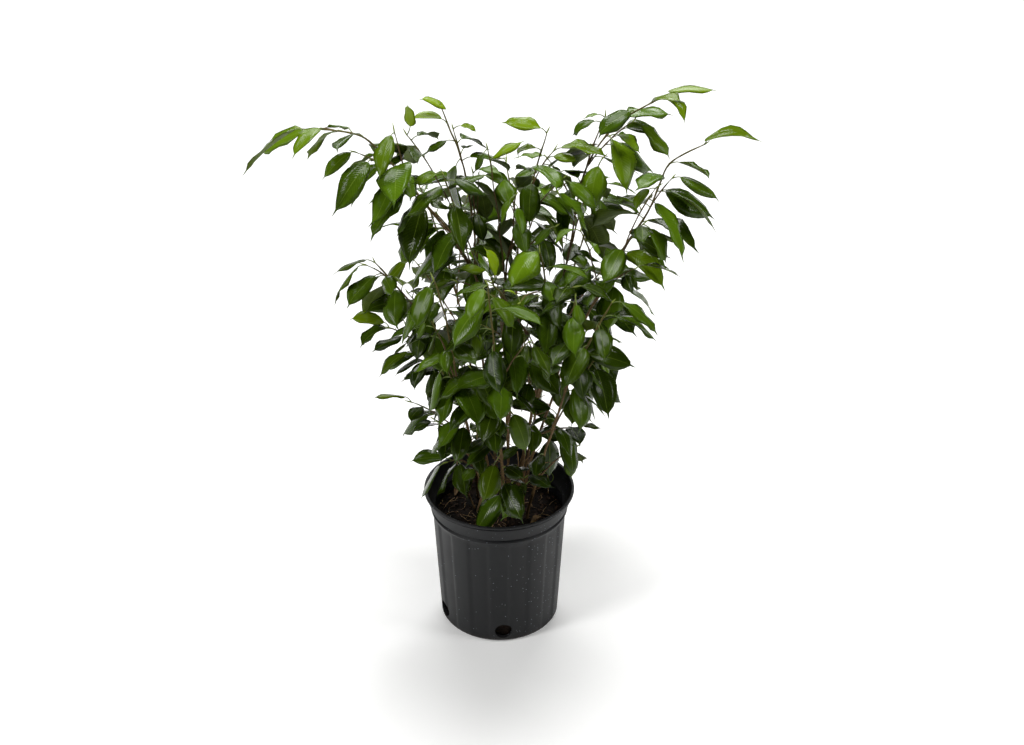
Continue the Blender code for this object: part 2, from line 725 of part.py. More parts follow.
def main():
    """Builds the pot, the potting mix and the thirteen leafy stems."""
    clear_scene()
    pot = build_pot()
    mix = build_mix([plan["route"][0] for plan in STEMS.values()])
    bpy.context.view_layer.update()
    surroundings = Surroundings()
    surroundings.add_mesh(*evaluated_shape(pot))
    surroundings.add_mesh(*evaluated_shape(mix))
    stems = {name: grow_stem(plan) for name, plan in STEMS.items()}
    for stem in stems.values():
        for wood in stem:
            surroundings.add_mesh(wood.points, wood.faces)
    leaf_green = material("waxy_leaf", (0.030, 0.105, 0.012), 0.32)
    draws = {name: random.Random(number + 1) for number, name in enumerate(stems)}
    posed = {}
    for name, stem in stems.items():
        posed[name] = [leaf for wood in stem for leaf in pose_leaves(wood, surroundings, draws[name])]
    for name, stem in stems.items():
        grown = [leaf for wood in stem for leaf in grow_leaves(wood, surroundings, draws[name])]
        additions = [(wood.points, wood.faces) for wood in stem[1:]]
        additions.extend(leaf.solid() for leaf in posed[name] + grown)
        fuse(f"leafy_stem_{name}", (stem[0].points, stem[0].faces), additions, leaf_green)


main()
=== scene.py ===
"""The looks of a potted weeping fig: moulded pot, potting mix, wood and leaves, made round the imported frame.

Metres, +Z up, with the front at -Y. The plant grows by the same seeded rule as its solids, so that each fine leaf lies
where its solid one does.
"""

import logging
import math
from collections.abc import Sequence
from dataclasses import dataclass, field
from enum import Enum
from itertools import accumulate
from random import Random

import bmesh
import bpy
from bmesh.types import BMEdge, BMesh, BMFace, BMVert
from bpy.types import Material, Mesh, Node, NodeSocket, NodeTree, Object
from mathutils import Matrix, Vector
from mathutils.bvhtree import BVHTree
from mathutils.noise import noise

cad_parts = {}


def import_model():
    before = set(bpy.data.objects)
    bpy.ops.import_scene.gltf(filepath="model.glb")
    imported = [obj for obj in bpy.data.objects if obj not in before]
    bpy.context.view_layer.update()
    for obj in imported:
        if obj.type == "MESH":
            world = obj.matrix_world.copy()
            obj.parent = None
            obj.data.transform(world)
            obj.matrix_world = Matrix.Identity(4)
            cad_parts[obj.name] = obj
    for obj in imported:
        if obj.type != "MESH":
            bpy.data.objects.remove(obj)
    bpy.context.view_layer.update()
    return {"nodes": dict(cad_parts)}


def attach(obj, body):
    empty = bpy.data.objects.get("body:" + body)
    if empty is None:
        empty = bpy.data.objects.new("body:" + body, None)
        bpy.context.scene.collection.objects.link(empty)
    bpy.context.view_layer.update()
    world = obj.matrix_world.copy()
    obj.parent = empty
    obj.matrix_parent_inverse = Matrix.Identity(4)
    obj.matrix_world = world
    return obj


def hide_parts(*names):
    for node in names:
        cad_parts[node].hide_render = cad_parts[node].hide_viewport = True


MM = 0.001
UP = Vector((0, 0, 1))
FULL_TURN = 2 * math.pi
# A Mix node's inputs for the colour below and the colour above, and its output for the mixed one
BELOW, ABOVE, MIXED = 6, 7, 2

Place = tuple[float, float, float]
Reaches = tuple[Place | None, ...]
Shape = tuple[list[Vector], list[tuple[int, ...]]]
Space = tuple[BVHTree, Vector, float]

log = logging.getLogger("potted_ficus")


# Small helpers for colour, nodes and numbers


def linear(colour: str) -> tuple[float, float, float, float]:
    """Turns an sRGB hex colour to linear.

    Args:
        colour: six hex digits after a hash.

    Returns:
        Red, green, blue and a full alpha.
    """
    shares = [int(colour[place : place + 2], 16) / 255 for place in (1, 3, 5)]
    red, green, blue = [c / 12.92 if c <= 0.04045 else ((c + 0.055) / 1.055) ** 2.4 for c in shares]
    return red, green, blue, 1.0


def add_node(
    tree: NodeTree, kind: str, values: dict[str | int, object] | None = None, out: str | int = 0, **settings: object
) -> NodeSocket:
    """Adds one shader node.

    Args:
        tree: the material's node tree.
        kind: the node's type after "ShaderNode".
        values: what its inputs get: a socket is linked, and anything else is set.
        out: which of its outputs is wanted.
        settings: its own properties.

    Returns:
        The wanted output.
    """
    node = tree.nodes.new(f"ShaderNode{kind}")
    for name, setting in settings.items():
        setattr(node, name, setting)
    for name, value in (values or {}).items():
        if isinstance(value, NodeSocket):
            tree.links.new(value, node.inputs[name])
        else:
            node.inputs[name].default_value = value
    return node.outputs[out]


def scale_for(size: float) -> float:
    """The scale at which a texture's features come to about a real size in metres."""
    return 1 / size


def smoothstep(low: float, high: float, value: float) -> float:
    """0 below low, 1 above high and a smooth rise between."""
    share = min(max((value - low) / (high - low), 0), 1)
    return share * share * (3 - 2 * share)


def draw_angle(draw: Random, range_deg: tuple[float, float]) -> float:
    """A random angle, in radians, from a range in degrees."""
    return math.radians(draw.uniform(*range_deg))


# Finishes


@dataclass(frozen=True)
class Finish:
    """What a surface is made of. A finish of its own kind adds its pattern in dress()."""

    name: str
    colour: str
    roughness: float
    ior: float = 1.5
    gloss: float = 0.5

    def material(self) -> Material:
        """The finish's material, made once.

        Returns:
            The material.
        """
        made = bpy.data.materials.get(self.name)
        if made:
            return made
        made = bpy.data.materials.new(self.name)
        made.use_nodes = True
        shader = made.node_tree.nodes["Principled BSDF"]
        shader.inputs["Base Color"].default_value = linear(self.colour)
        shader.inputs["Roughness"].default_value = self.roughness
        shader.inputs["IOR"].default_value = self.ior
        shader.inputs["Specular IOR Level"].default_value = self.gloss
        made.diffuse_color = linear(self.colour)
        self.dress(made.node_tree, shader)
        return made

    def dress(self, tree: NodeTree, shader: Node) -> None:
        """Adds the pattern. A plain finish has none."""

    def coat(
        self,
        tree: NodeTree,
        shader: Node,
        layers: dict[str, NodeSocket],
        height: NodeSocket,
        relief: tuple[float, float],
    ) -> None:
        """Lays further colours over the finish's own and raises its relief.

        Args:
            tree: the material's node tree.
            shader: its Principled shader.
            layers: each further colour, with how far it covers what lies below.
            height: the pattern that the relief follows.
            relief: its strength and its depth.
        """
        colour = linear(self.colour)
        for above, cover in layers.items():
            values = {"Factor": cover, BELOW: colour, ABOVE: linear(above)}
            colour = add_node(tree, "Mix", values, MIXED, data_type="RGBA")
        strength, depth = relief
        raised = add_node(tree, "Bump", {"Strength": strength, "Distance": depth, "Height": height})
        tree.links.new(colour, shader.inputs["Base Color"])
        tree.links.new(raised, shader.inputs["Normal"])


@dataclass(frozen=True)
class MouldedPolyethylene(Finish):
    """Black injection-moulded polyethylene: a satin skin with faint flow lines, dust and dried splashes."""

    grain: float = 0.5 * MM
    cloud: float = 28 * MM
    speck_spacing: float = 3.2 * MM
    speck_radius: float = 0.17
    speck_cover: float = 0.5
    clean_side: float = -20 * MM
    dusty_side: float = 60 * MM
    worn_colour: str = "#1f2122"
    dust_colour: str = "#8f95a0"
    soil_colour: str = "#2a2019"
    soil_line: float = 9 * MM
    soil_grain: float = 4 * MM

    def dress(self, tree: NodeTree, shader: Node) -> None:
        """Adds grain, cloudy wear, dust specks and a soiled foot.

        Args:
            tree: the material's node tree.
            shader: its Principled shader.
        """
        place = add_node(tree, "TexCoord", out="Object")
        # Cloudy greying, as handled black plastic has
        cloud = add_node(tree, "TexNoise", {"Vector": place, "Scale": scale_for(self.cloud), "Detail": 5.0})
        greying = add_node(tree, "MapRange", {"Value": cloud, "From Min": 0.42, "From Max": 0.75, "To Max": 0.55})
        # Dust specks: one grain in a few of the cells, thicker on the right of the pot
        off_centre = add_node(tree, "TexVoronoi", {"Vector": place, "Scale": scale_for(self.speck_spacing)})
        is_near = add_node(tree, "Math", {0: off_centre, 1: self.speck_radius}, operation="LESS_THAN")
        chance = add_node(tree, "SeparateColor", {"Color": off_centre.node.outputs["Color"]})
        right = add_node(tree, "SeparateXYZ", {"Vector": place})
        sides = {"From Min": self.clean_side, "From Max": self.dusty_side, "To Min": 0.06, "To Max": 0.5}
        odds = add_node(tree, "MapRange", {"Value": right, **sides})
        is_dusty = add_node(tree, "Math", {0: chance, 1: odds}, operation="LESS_THAN")
        speck = add_node(tree, "Math", {0: is_near, 1: is_dusty}, operation="MULTIPLY")
        dust = add_node(tree, "Math", {0: speck, 1: self.speck_cover}, operation="MULTIPLY")
        # Soil that has splashed on the foot
        splash = add_node(tree, "TexNoise", {"Vector": place, "Scale": scale_for(self.soil_grain), "Detail": 6.0})
        height = right.node.outputs["Z"]
        low = add_node(tree, "MapRange", {"Value": height, "From Min": self.soil_line, "From Max": 0.0})
        soil = add_node(tree, "Math", {0: splash, 1: low}, operation="MULTIPLY")
        grain = add_node(tree, "TexNoise", {"Vector": place, "Scale": scale_for(self.grain), "Detail": 3.0})
        layers = {self.worn_colour: greying, self.dust_colour: dust, self.soil_colour: soil}
        self.coat(tree, shader, layers, grain, (0.16, 0.1 * MM))
        span = {"To Min": self.roughness - 0.07, "To Max": self.roughness + 0.14}
        tree.links.new(add_node(tree, "MapRange", {"Value": cloud, **span}), shader.inputs["Roughness"])


@dataclass(frozen=True)
class CrumbledMatter(Finish):
    """Damp peat, bark or dry litter: mottled crumbs that shine nowhere."""

    light_colour: str = "#3d2a1b"
    crumb: float = 2.4 * MM
    clump: float = 11 * MM
    depth: float = 1.2 * MM

    def dress(self, tree: NodeTree, shader: Node) -> None:
        """Mottles the colour crumb by crumb, tones each piece by its own attribute and roughens it.

        Args:
            tree: the material's node tree.
            shader: its Principled shader.
        """
        place = add_node(tree, "TexCoord", out="Object")
        crumbs = add_node(tree, "TexNoise", {"Vector": place, "Scale": scale_for(self.crumb), "Detail": 8.0})
        clumps = add_node(tree, "TexNoise", {"Vector": place, "Scale": scale_for(self.clump), "Detail": 3.0})
        mottle = add_node(tree, "Math", {0: crumbs, 1: clumps}, operation="MULTIPLY")
        pale = add_node(tree, "MapRange", {"Value": mottle, "From Min": 0.14, "From Max": 0.42})
        tone = add_node(tree, "Attribute", out="Fac", attribute_name="tone")
        own = add_node(tree, "Math", {0: tone, 1: 0.5}, operation="MULTIPLY")
        light = add_node(tree, "Math", {0: pale, 1: own}, operation="ADD", use_clamp=True)
        self.coat(tree, shader, {self.light_colour: light}, crumbs, (0.9, self.depth))


@dataclass(frozen=True)
class FigBark(Finish):
    """Thin fig bark: grey-brown with pale corky pores, and green where the twig is young."""

    old_colour: str = "#7c633f"
    young_colour: str = "#5d6428"
    pore_colour: str = "#ab8f60"
    pore: float = 1.6 * MM
    streak: float = 5 * MM
    depth: float = 0.3 * MM

    def dress(self, tree: NodeTree, shader: Node) -> None:
        """Streaks and pits the bark, and greens it by the attribute of youth.

        Args:
            tree: the material's node tree.
            shader: its Principled shader.
        """
        place = add_node(tree, "TexCoord", out="Object")
        streaks = add_node(tree, "TexNoise", {"Vector": place, "Scale": scale_for(self.streak), "Detail": 7.0})
        off_pore = add_node(tree, "TexVoronoi", {"Vector": place, "Scale": scale_for(self.pore)})
        pore = add_node(tree, "MapRange", {"Value": off_pore, "From Min": 0.28, "From Max": 0.12, "To Max": 0.7})
        youth = add_node(tree, "Attribute", out="Fac", attribute_name="youth")
        layers = {self.old_colour: streaks, self.pore_colour: pore, self.young_colour: youth}
        self.coat(tree, shader, layers, streaks, (0.5, self.depth))


@dataclass(frozen=True)
class FigLeaf(Finish):
    """One face of a fig leaf: a waxy skin with a pale midrib and close side veins, greener or more lime by its age."""

    light_colour: str = "#53730f"
    lime_colour: str = "#7f9a05"
    vein_colour: str = "#829a3a"
    mottle: float = 9 * MM
    midrib: float = 0.024
    midrib_share: float = 0.34
    vein_pairs: float = 20.0
    vein_slant: float = 0.42
    vein_share: float = 0.05
    margin: float = 0.465
    margin_share: float = 0.4
    ripple: float = 5.5 * MM
    puff: float = 0.16
    depth: float = 0.4 * MM

    def dress(self, tree: NodeTree, shader: Node) -> None:
        """Colours the blade by its age and tone, and draws the midrib and the side veins on its own map.

        Args:
            tree: the material's node tree.
            shader: its Principled shader.
        """
        # The blade's map runs from 0 at its base to 1 at its tip, and from 0 to 1 across with the midrib at a half
        along = add_node(tree, "SeparateXYZ", {"Vector": add_node(tree, "UVMap", uv_map="blade")})
        off_rib = add_node(tree, "Math", {0: along.node.outputs["Y"], 1: 0.5}, operation="SUBTRACT")
        out = add_node(tree, "Math", {0: off_rib}, operation="ABSOLUTE")
        place = add_node(tree, "TexCoord", out="Object")
        mottle = add_node(tree, "TexNoise", {"Vector": place, "Scale": scale_for(self.mottle), "Detail": 4.0})
        uneven = add_node(tree, "MapRange", {"Value": mottle, "To Min": -0.22, "To Max": 0.22})
        # The tone attribute lightens the green: each leaf's own random tone, with painted light that rises with height
        # and on the pale spots
        tone = add_node(tree, "Attribute", out="Fac", attribute_name="tone")
        light = add_node(tree, "Math", {0: tone, 1: uneven}, operation="ADD", use_clamp=True)
        lime = add_node(tree, "Attribute", out="Fac", attribute_name="lime")
        # Side veins leave the midrib at a steep slant and bend a little towards the tip
        slant = add_node(tree, "Math", {0: out, 1: self.vein_slant}, operation="MULTIPLY")
        row = add_node(tree, "Math", {0: along, 1: slant}, operation="SUBTRACT")
        turns = add_node(tree, "Math", {0: row, 1: FULL_TURN * self.vein_pairs}, operation="MULTIPLY")
        wave = add_node(tree, "Math", {0: turns}, operation="COSINE")
        side_vein = add_node(tree, "MapRange", {"Value": wave, "From Min": 0.55, "From Max": 1.0})
        faint = add_node(tree, "Math", {0: side_vein, 1: self.vein_share}, operation="MULTIPLY")
        rib = add_node(tree, "MapRange", {"Value": out, "From Min": self.midrib, "From Max": 0.3 * self.midrib})
        strong = add_node(tree, "Math", {0: rib, 1: self.midrib_share}, operation="MULTIPLY")
        vein = add_node(tree, "Math", {0: faint, 1: strong}, operation="MAXIMUM")
        # A pale horny hairline runs round the margin
        rise = {"From Min": self.margin, "From Max": 0.5, "To Max": self.margin_share}
        edge = add_node(tree, "MapRange", {"Value": out, **rise})
        pale = add_node(tree, "Math", {0: vein, 1: edge}, operation="MAXIMUM")
        # The lamina puffs up between its side veins
        puff = add_node(tree, "Math", {0: wave, 1: self.puff}, operation="MULTIPLY")
        ripple = add_node(tree, "TexNoise", {"Vector": place, "Scale": scale_for(self.ripple), "Detail": 2.0})
        skin = add_node(tree, "Math", {0: ripple, 1: puff}, operation="SUBTRACT")
        layers = {self.light_colour: light, self.lime_colour: lime, self.vein_colour: pale}
        self.coat(tree, shader, layers, skin, (0.65, self.depth))
        span = {"To Min": self.roughness - 0.08, "To Max": self.roughness + 0.12}
        tree.links.new(add_node(tree, "MapRange", {"Value": mottle, **span}), shader.inputs["Roughness"])


@dataclass(frozen=True)
class PaintedFloor(Finish):
    """The studio's pale painted floor: matt, with the faintest unevenness and a glow that evens out its shadows."""

    glow: float = 0.24
    roller_mark: float = 300 * MM

    def dress(self, tree: NodeTree, shader: Node) -> None:
        """Varies the paint's roughness a little and lets it glow.

        Args:
            tree: the material's node tree.
            shader: its Principled shader.
        """
        place = add_node(tree, "TexCoord", out="Object")
        uneven = add_node(tree, "TexNoise", {"Vector": place, "Scale": scale_for(self.roller_mark), "Detail": 2.0})
        matt = add_node(tree, "MapRange", {"Value": uneven, "To Min": 0.7, "To Max": 0.85})
        tree.links.new(matt, shader.inputs["Roughness"])
        shader.inputs["Emission Color"].default_value = linear(self.colour)
        shader.inputs["Emission Strength"].default_value = self.glow


# Injection-moulded polyethylene: near-black with a soft satin sheen that greys where it faces the light
POLYETHYLENE = MouldedPolyethylene("moulded_black_polyethylene", "#17181a", 0.48, 1.51, 0.28)
# Damp sphagnum peat: crumbly and without shine; its near-black colour is partly the damp peat's own and partly painted
# shade, for the shade inside the pot and behind the drain holes
PEAT = CrumbledMatter("damp_peat", "#090604", 0.95, gloss=0.15, light_colour="#21160e")
# Composted bark, chipped: reddish brown flakes with paler broken edges
BARK_CHIP = CrumbledMatter(
    "composted_bark_chip", "#160d08", 0.85, gloss=0.2, light_colour="#3d2a1b", crumb=1.5 * MM, depth=0.4 * MM
)
# Expanded perlite: small chalky white grains, greyed by the peat
PERLITE = CrumbledMatter("perlite", "#6f685b", 0.9, light_colour="#b5ad9b", crumb=0.8 * MM, depth=0.3 * MM)
# Dead roots, twigs and leaves, dried: straw to tan, matt and streaked
DRY_LITTER = CrumbledMatter("dry_fig_litter", "#4a3520", 0.7, light_colour="#a08258", crumb=3 * MM, depth=0.3 * MM)
# Thin living fig bark: warm brown with pale corky pores, greening towards the young tips
BARK = FigBark("fig_bark", "#322617", 0.72, gloss=0.18)
# Waxy upper face of a fig leaf: deep green with a clear gloss that breaks up over the puffed lamina
LEAF_FACE = FigLeaf("fig_leaf_upper_face", "#1c2d02", 0.17, 1.45, 0.24)
# Under face of a fig leaf: matt, paler olive, with the midrib standing out
LEAF_BACK = FigLeaf(
    "fig_leaf_under_face", "#2f3c08", 0.5, 1.45, 0.2, light_colour="#5a6e1a", vein_colour="#8b9a48", vein_share=0.15
)
# Leaf stalk: smooth yellow-green skin
LEAF_STALK = Finish("fig_leaf_stalk", "#66772f", 0.45)
# Bud scale: the pale sheath round an unopened leaf
BUD_SCALE = Finish("fig_bud_scale", "#8a9a3c", 0.5)
# Matt wall paint: the studio's pale ground
FLOOR_PAINT = PaintedFloor("pale_floor_paint", "#f4f4f3", 0.8)


class Slot(Enum):
    """The record's material slots."""

    POT = "pot"
    POTTING_MIX = "potting_mix"
    LEAF = "leaf"


# Mesh work shared by the sub-assemblies


def placed(name: str, data: bpy.types.ID) -> Object:
    """Puts a mesh, a light or a camera into the scene.

    Args:
        name: the object's name.
        data: what it holds.

    Returns:
        The object.
    """
    item = bpy.data.objects.new(name, data)
    bpy.context.scene.collection.objects.link(item)
    return item


def mesh_of(form: BMesh, name: str) -> Mesh:
    """Turns a bmesh into a mesh.

    Args:
        form: the bmesh. It is freed.
        name: the mesh's name.

    Returns:
        The mesh.
    """
    mesh = bpy.data.meshes.new(name)
    form.to_mesh(mesh)
    form.free()
    return mesh


def finished_piece(form: BMesh, name: str, finishes: list[Finish], nodes: list[str]) -> Object:
    """Turns a bmesh into a piece of the scene.

    Args:
        form: the shape, in its place. It is freed.
        name: the piece's name.
        finishes: its finishes, in the order of its faces' material numbers.
        nodes: the CAD nodes that it stands for.

    Returns:
        The piece, riding on the part's one body.
    """
    mesh = mesh_of(form, name)
    mesh.shade_smooth()
    for finish in finishes:
        mesh.materials.append(finish.material())
    piece = placed(name, mesh)
    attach(piece, "root")
    if nodes:
        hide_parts(*nodes)
    log.info("%s: %d faces", name, len(mesh.polygons))
    return piece


def vertices_in(geometry: list) -> list[BMVert]:
    """The vertices among some geometry."""
    return [item for item in geometry if isinstance(item, BMVert)]


def paint(verts: list[BMVert], layer: bmesh.types.BMLayerItem, value: float) -> None:
    """Gives vertices their value in a layer."""
    for vert in verts:
        vert[layer] = value


def frames_along(line: list[Vector]) -> list[Matrix]:
    """Frames at the points of a line whose Z runs along it, turned no more than the line makes them.

    Args:
        line: the points.

    Returns:
        One matrix for each point.
    """
    frames = []
    before = (line[1] - line[0]).normalized()
    turn = UP.rotation_difference(before)
    for k, point in enumerate(line):
        way = (line[min(k + 1, len(line) - 1)] - line[max(k - 1, 0)]).normalized()
        turn = before.rotation_difference(way) @ turn
        before = way
        frames.append(Matrix.Translation(point) @ turn.to_matrix().to_4x4())
    return frames


def sweep(
    form: BMesh, line: list[Vector], radii: Sequence[float], sides: int, finish: int = 0
) -> list[list[BMVert]]:
    """Sweeps a closed round tube along a line.

    Args:
        form: the bmesh that it joins.
        line: the points of its axis.
        radii: its radius at each of them.
        sides: how many sides it has.
        finish: the material number of its faces.

    Returns:
        The rings of vertices, from first to last.
    """
    frames = frames_along(line)
    ring = bmesh.ops.create_circle(form, radius=radii[0], segments=sides, matrix=frames[0])["verts"]
    edges = list({edge for vert in ring for edge in vert.link_edges})
    rings, skins = [ring], []
    ends = [edges]
    for k in range(1, len(line)):
        grown = bmesh.ops.extrude_edge_only(form, edges=edges)["geom"]
        ring = vertices_in(grown)
        inside = set(ring)
        edges = [item for item in grown if isinstance(item, BMEdge) and set(item.verts) <= inside]
        skins.extend(item for item in grown if isinstance(item, BMFace))
        step = frames[k] @ Matrix.Scale(radii[k] / radii[k - 1], 4) @ frames[k - 1].inverted()
        bmesh.ops.transform(form, matrix=step, verts=ring)
        rings.append(ring)
    ends.append(edges)
    for loop in ends:
        skins.extend(bmesh.ops.edgeloop_fill(form, edges=loop)["faces"])
    bmesh.ops.recalc_face_normals(form, faces=skins)
    for face in skins:
        face.material_index = finish
    return rings


def on_curve(points: tuple[Vector, Vector, Vector, Vector], t: float) -> Vector:
    """A point at a share t of the way from the second to the third of four points, on a smooth curve through them."""
    a, b, c, d = points
    return b + ((c - a) * t + (a * 2 - b * 5 + c * 4 - d) * t**2 + (b * 3 - a - c * 3 + d) * t**3) / 2


def with_ends(points: list[Vector]) -> list[Vector]:
    """The points with one more before the first and after the last, straight on."""
    return [points[0] * 2 - points[1], *points, points[-1] * 2 - points[-2]]


def rounded(points: list[Vector], per_span: int) -> list[Vector]:
    """Points on a smooth curve through the given ones.

    Args:
        points: the places that it passes.
        per_span: how many points each stretch gets.

    Returns:
        The curve's points.
    """
    ends = with_ends(points)
    spans = zip(ends, ends[1:], ends[2:], ends[3:])
    return [*(on_curve(span, k / per_span) for span in spans for k in range(per_span)), points[-1]]


def on_arch(root: Vector, middle: Vector, tip: Vector, t: float) -> Vector:
    """A point of the arch from a root to a tip that leans towards a middle."""
    return root * (1 - t) ** 2 + middle * 2 * t * (1 - t) + tip * t * t


def arc(centre: tuple[float, float], radius: float, start_deg: float, end_deg: float, steps: int) -> list:
    """Points of an arc in a turned profile.

    Args:
        centre: its centre's radius and height in the profile.
        radius: its own radius.
        start_deg: where it starts, from outwards towards up.
        end_deg: where it ends.
        steps: how many stretches it has.

    Returns:
        The (radius, height) pairs.
    """
    turns = [math.radians(start_deg + (end_deg - start_deg) * k / steps) for k in range(steps + 1)]
    return [(centre[0] + radius * math.cos(a), centre[1] + radius * math.sin(a)) for a in turns]


def turned(profile: list[tuple[float, float]], steps: int) -> BMesh:
    """Spins a profile of (radius, height) about the middle axis into a closed skin.

    Args:
        profile: its points, from the axis and back to it.
        steps: how many stretches the turn has.

    Returns:
        The bmesh.
    """
    form = bmesh.new()
    points = [form.verts.new((radius, 0, height)) for radius, height in profile]
    edges = [form.edges.new(pair) for pair in zip(points, points[1:])]
    bmesh.ops.spin(form, geom=points + edges, cent=(0, 0, 0), axis=UP, angle=FULL_TURN, steps=steps, use_merge=True)
    bmesh.ops.remove_doubles(form, verts=form.verts, dist=0.01 * MM)
    bmesh.ops.recalc_face_normals(form, faces=form.faces)
    return form


# Pot


@dataclass
class NurseryPot:
    """The moulded pot: lip, flaring collar, groove and ridge, fluted body and drain holes."""

    height: float = 165 * MM
    rim_radius: float = 82.5 * MM
    collar_height: float = 20.6 * MM
    collar_foot_radius: float = 75.9 * MM
    body_top_radius: float = 74.2 * MM
    body_foot_radius: float = 66.2 * MM
    corner: float = 7 * MM
    wall: float = 1.6 * MM
    flutes: int = 10
    flute_depth: float = 1.4 * MM
    flat_deg: float = 7.0
    holes_deg: tuple[float, ...] = (-68, 4, 112, 184)
    hole_radius: float = 9.4 * MM
    hole_height: float = 16 * MM
    hole_reach: float = 24 * MM
    hole_sides: int = 40
    turn_steps: int = 240
    sharp_deg: float = 40

    @property
    def foot(self) -> float:
        """The height of the collar's foot."""
        return self.height - self.collar_height

    def body_radius(self, height: float) -> float:
        """The body's outer radius on its proud panels."""
        return self.body_foot_radius + (self.body_top_radius - self.body_foot_radius) * (height / self.foot)

    def profile(self) -> list[tuple[float, float]]:
        """The turned profile, from the middle of the underside out, up, over the lip and down inside.

        Returns:
            Its (radius, height) pairs.
        """
        foot, top, rim, body = self.foot, self.height, self.rim_radius, self.body_top_radius
        flat = self.body_foot_radius - self.corner
        panel = [z * MM for z in (14, 24, 45, 70, 95, 115, 127, 131, 133.5, 136)]
        corner = arc((self.body_radius(self.corner) - self.corner, self.corner), self.corner, -90, 0, 8)
        ridge = arc((body - 0.3 * MM, foot - 4.2 * MM), 1.6 * MM, -55, 60, 7)
        groove = arc((body + 0.8 * MM, foot - 1.3 * MM), 1.5 * MM, 230, 130, 7)
        shoulder = arc((self.collar_foot_radius - 0.8 * MM, foot + 1.2 * MM), 1.0 * MM, -60, 20, 5)
        collar_top = arc((rim - 2.6 * MM, top - 5.2 * MM), 0.8 * MM, -15, 75, 4)
        neck = [(rim - 2.6 * MM, top - z * MM) for z in (4.0, 3.1)]
        lip_foot = arc((rim - 0.7 * MM, top - 2.1 * MM), 0.7 * MM, -80, 0, 4)
        lip_top = arc((rim - 0.9 * MM, top - 0.9 * MM), 0.9 * MM, 0, 90, 4)
        lip_inside = arc((rim - 2.4 * MM, top - 0.8 * MM), 0.8 * MM, 90, 180, 3)
        outside = [(0, 0), (flat * 0.5, 0), (flat, 0), *corner[1:], *((self.body_radius(z), z) for z in panel)]
        outside += [*ridge, *groove, *shoulder, *collar_top, *neck, *lip_foot, *lip_top]
        # Inside, the wall follows the lip's neck, the groove and the ridge as faint rings
        rings = ((3.7, -3.0), (4.2, -4.2), (3.8, -6.0), (9.2, -18.6), (10.6, -20.8), (11.6, -22.0), (10.6, -24.6))
        inside = [*lip_inside, *((rim - depth * MM, top + z * MM) for depth, z in rings)]
        inside += [(self.body_radius(z) - self.wall, z) for z in reversed(panel)]
        return [*outside, *inside, (flat, self.wall), (0, self.wall)]

    def flute_share(self, angle_deg: float) -> float:
        """0 on a proud panel, 1 on a recessed one and a rounded step between."""
        half = 360 / self.flutes / 2
        return smoothstep(self.flat_deg, half - self.flat_deg, abs((angle_deg + half) % (2 * half) - half))

    def flute(self, form: BMesh) -> None:
        """Sets the recessed panels in, between the rounded corner and the ridge.

        Args:
            form: the turned pot.
        """
        head = self.foot - 12 * MM, self.foot - 7 * MM
        for vert in form.verts:
            radius = math.hypot(vert.co.x, vert.co.y)
            level = smoothstep(2 * MM, 9 * MM, vert.co.z) * (1 - smoothstep(*head, vert.co.z))
            if radius < self.body_foot_radius - self.corner or not level:
                continue
            angle = math.degrees(math.atan2(vert.co.x, -vert.co.y))
            share = (radius - level * self.flute_share(angle) * self.flute_depth) / radius
            vert.co.x *= share
            vert.co.y *= share

    def drill(self, piece: Object) -> None:
        """Cuts the round drain holes through the corner.

        Args:
            piece: the pot.
        """
        radii = {"radius1": self.hole_radius, "radius2": self.hole_radius}
        for angle_deg in self.holes_deg:
            a = math.radians(angle_deg)
            at = Vector((math.sin(a), -math.cos(a), 0)) * self.body_foot_radius + UP * self.hole_height
            turn = Matrix.Rotation(a, 4, "Z") @ Matrix.Rotation(math.pi / 2, 4, "X")
            size = {"segments": self.hole_sides, "depth": self.hole_reach, **radii}
            tool = bmesh.new()
            bmesh.ops.create_cone(tool, cap_ends=True, matrix=Matrix.Translation(at) @ turn, **size)
            cutter = placed("drain_tool", mesh_of(tool, "drain_tool"))
            cut = piece.modifiers.new("drain_hole", "BOOLEAN")
            cut.operation = "DIFFERENCE"
            cut.object = cutter
            apply_modifiers(piece)
            bpy.data.objects.remove(cutter)

    def build(self) -> Object:
        """Turns, flutes and drills the pot.

        Returns:
            The piece.
        """
        form = turned(self.profile(), self.turn_steps)
        self.flute(form)
        piece = finished_piece(form, "nursery_pot", [POLYETHYLENE], ["pot"])
        self.drill(piece)
        piece.data.set_sharp_from_angle(angle=math.radians(self.sharp_deg))
        return piece


def apply_modifiers(piece: Object) -> None:
    """Applies a piece's modifiers to its mesh.

    Args:
        piece: the piece.
    """
    bpy.context.view_layer.update()
    graph = bpy.context.evaluated_depsgraph_get()
    shaped = bpy.data.meshes.new_from_object(piece.evaluated_get(graph))
    piece.modifiers.clear()
    piece.data = shaped


# Potting mix


@dataclass(frozen=True)
class FallenLeaf:
    """A rolled-up dead leaf on the mix, in millimetres: where its base and its tip lie, and how pale it has dried."""

    base: tuple[float, float]
    tip: tuple[float, float]
    half_width: float
    tone: float


@dataclass(frozen=True)
class Shoot:
    """A thin shoot, in millimetres: its places, on the mix where they give no height, and its foot's radius."""

    line: tuple[tuple[float, ...], ...]
    radius: float
    is_green: bool = False
    tone: float = 0.8


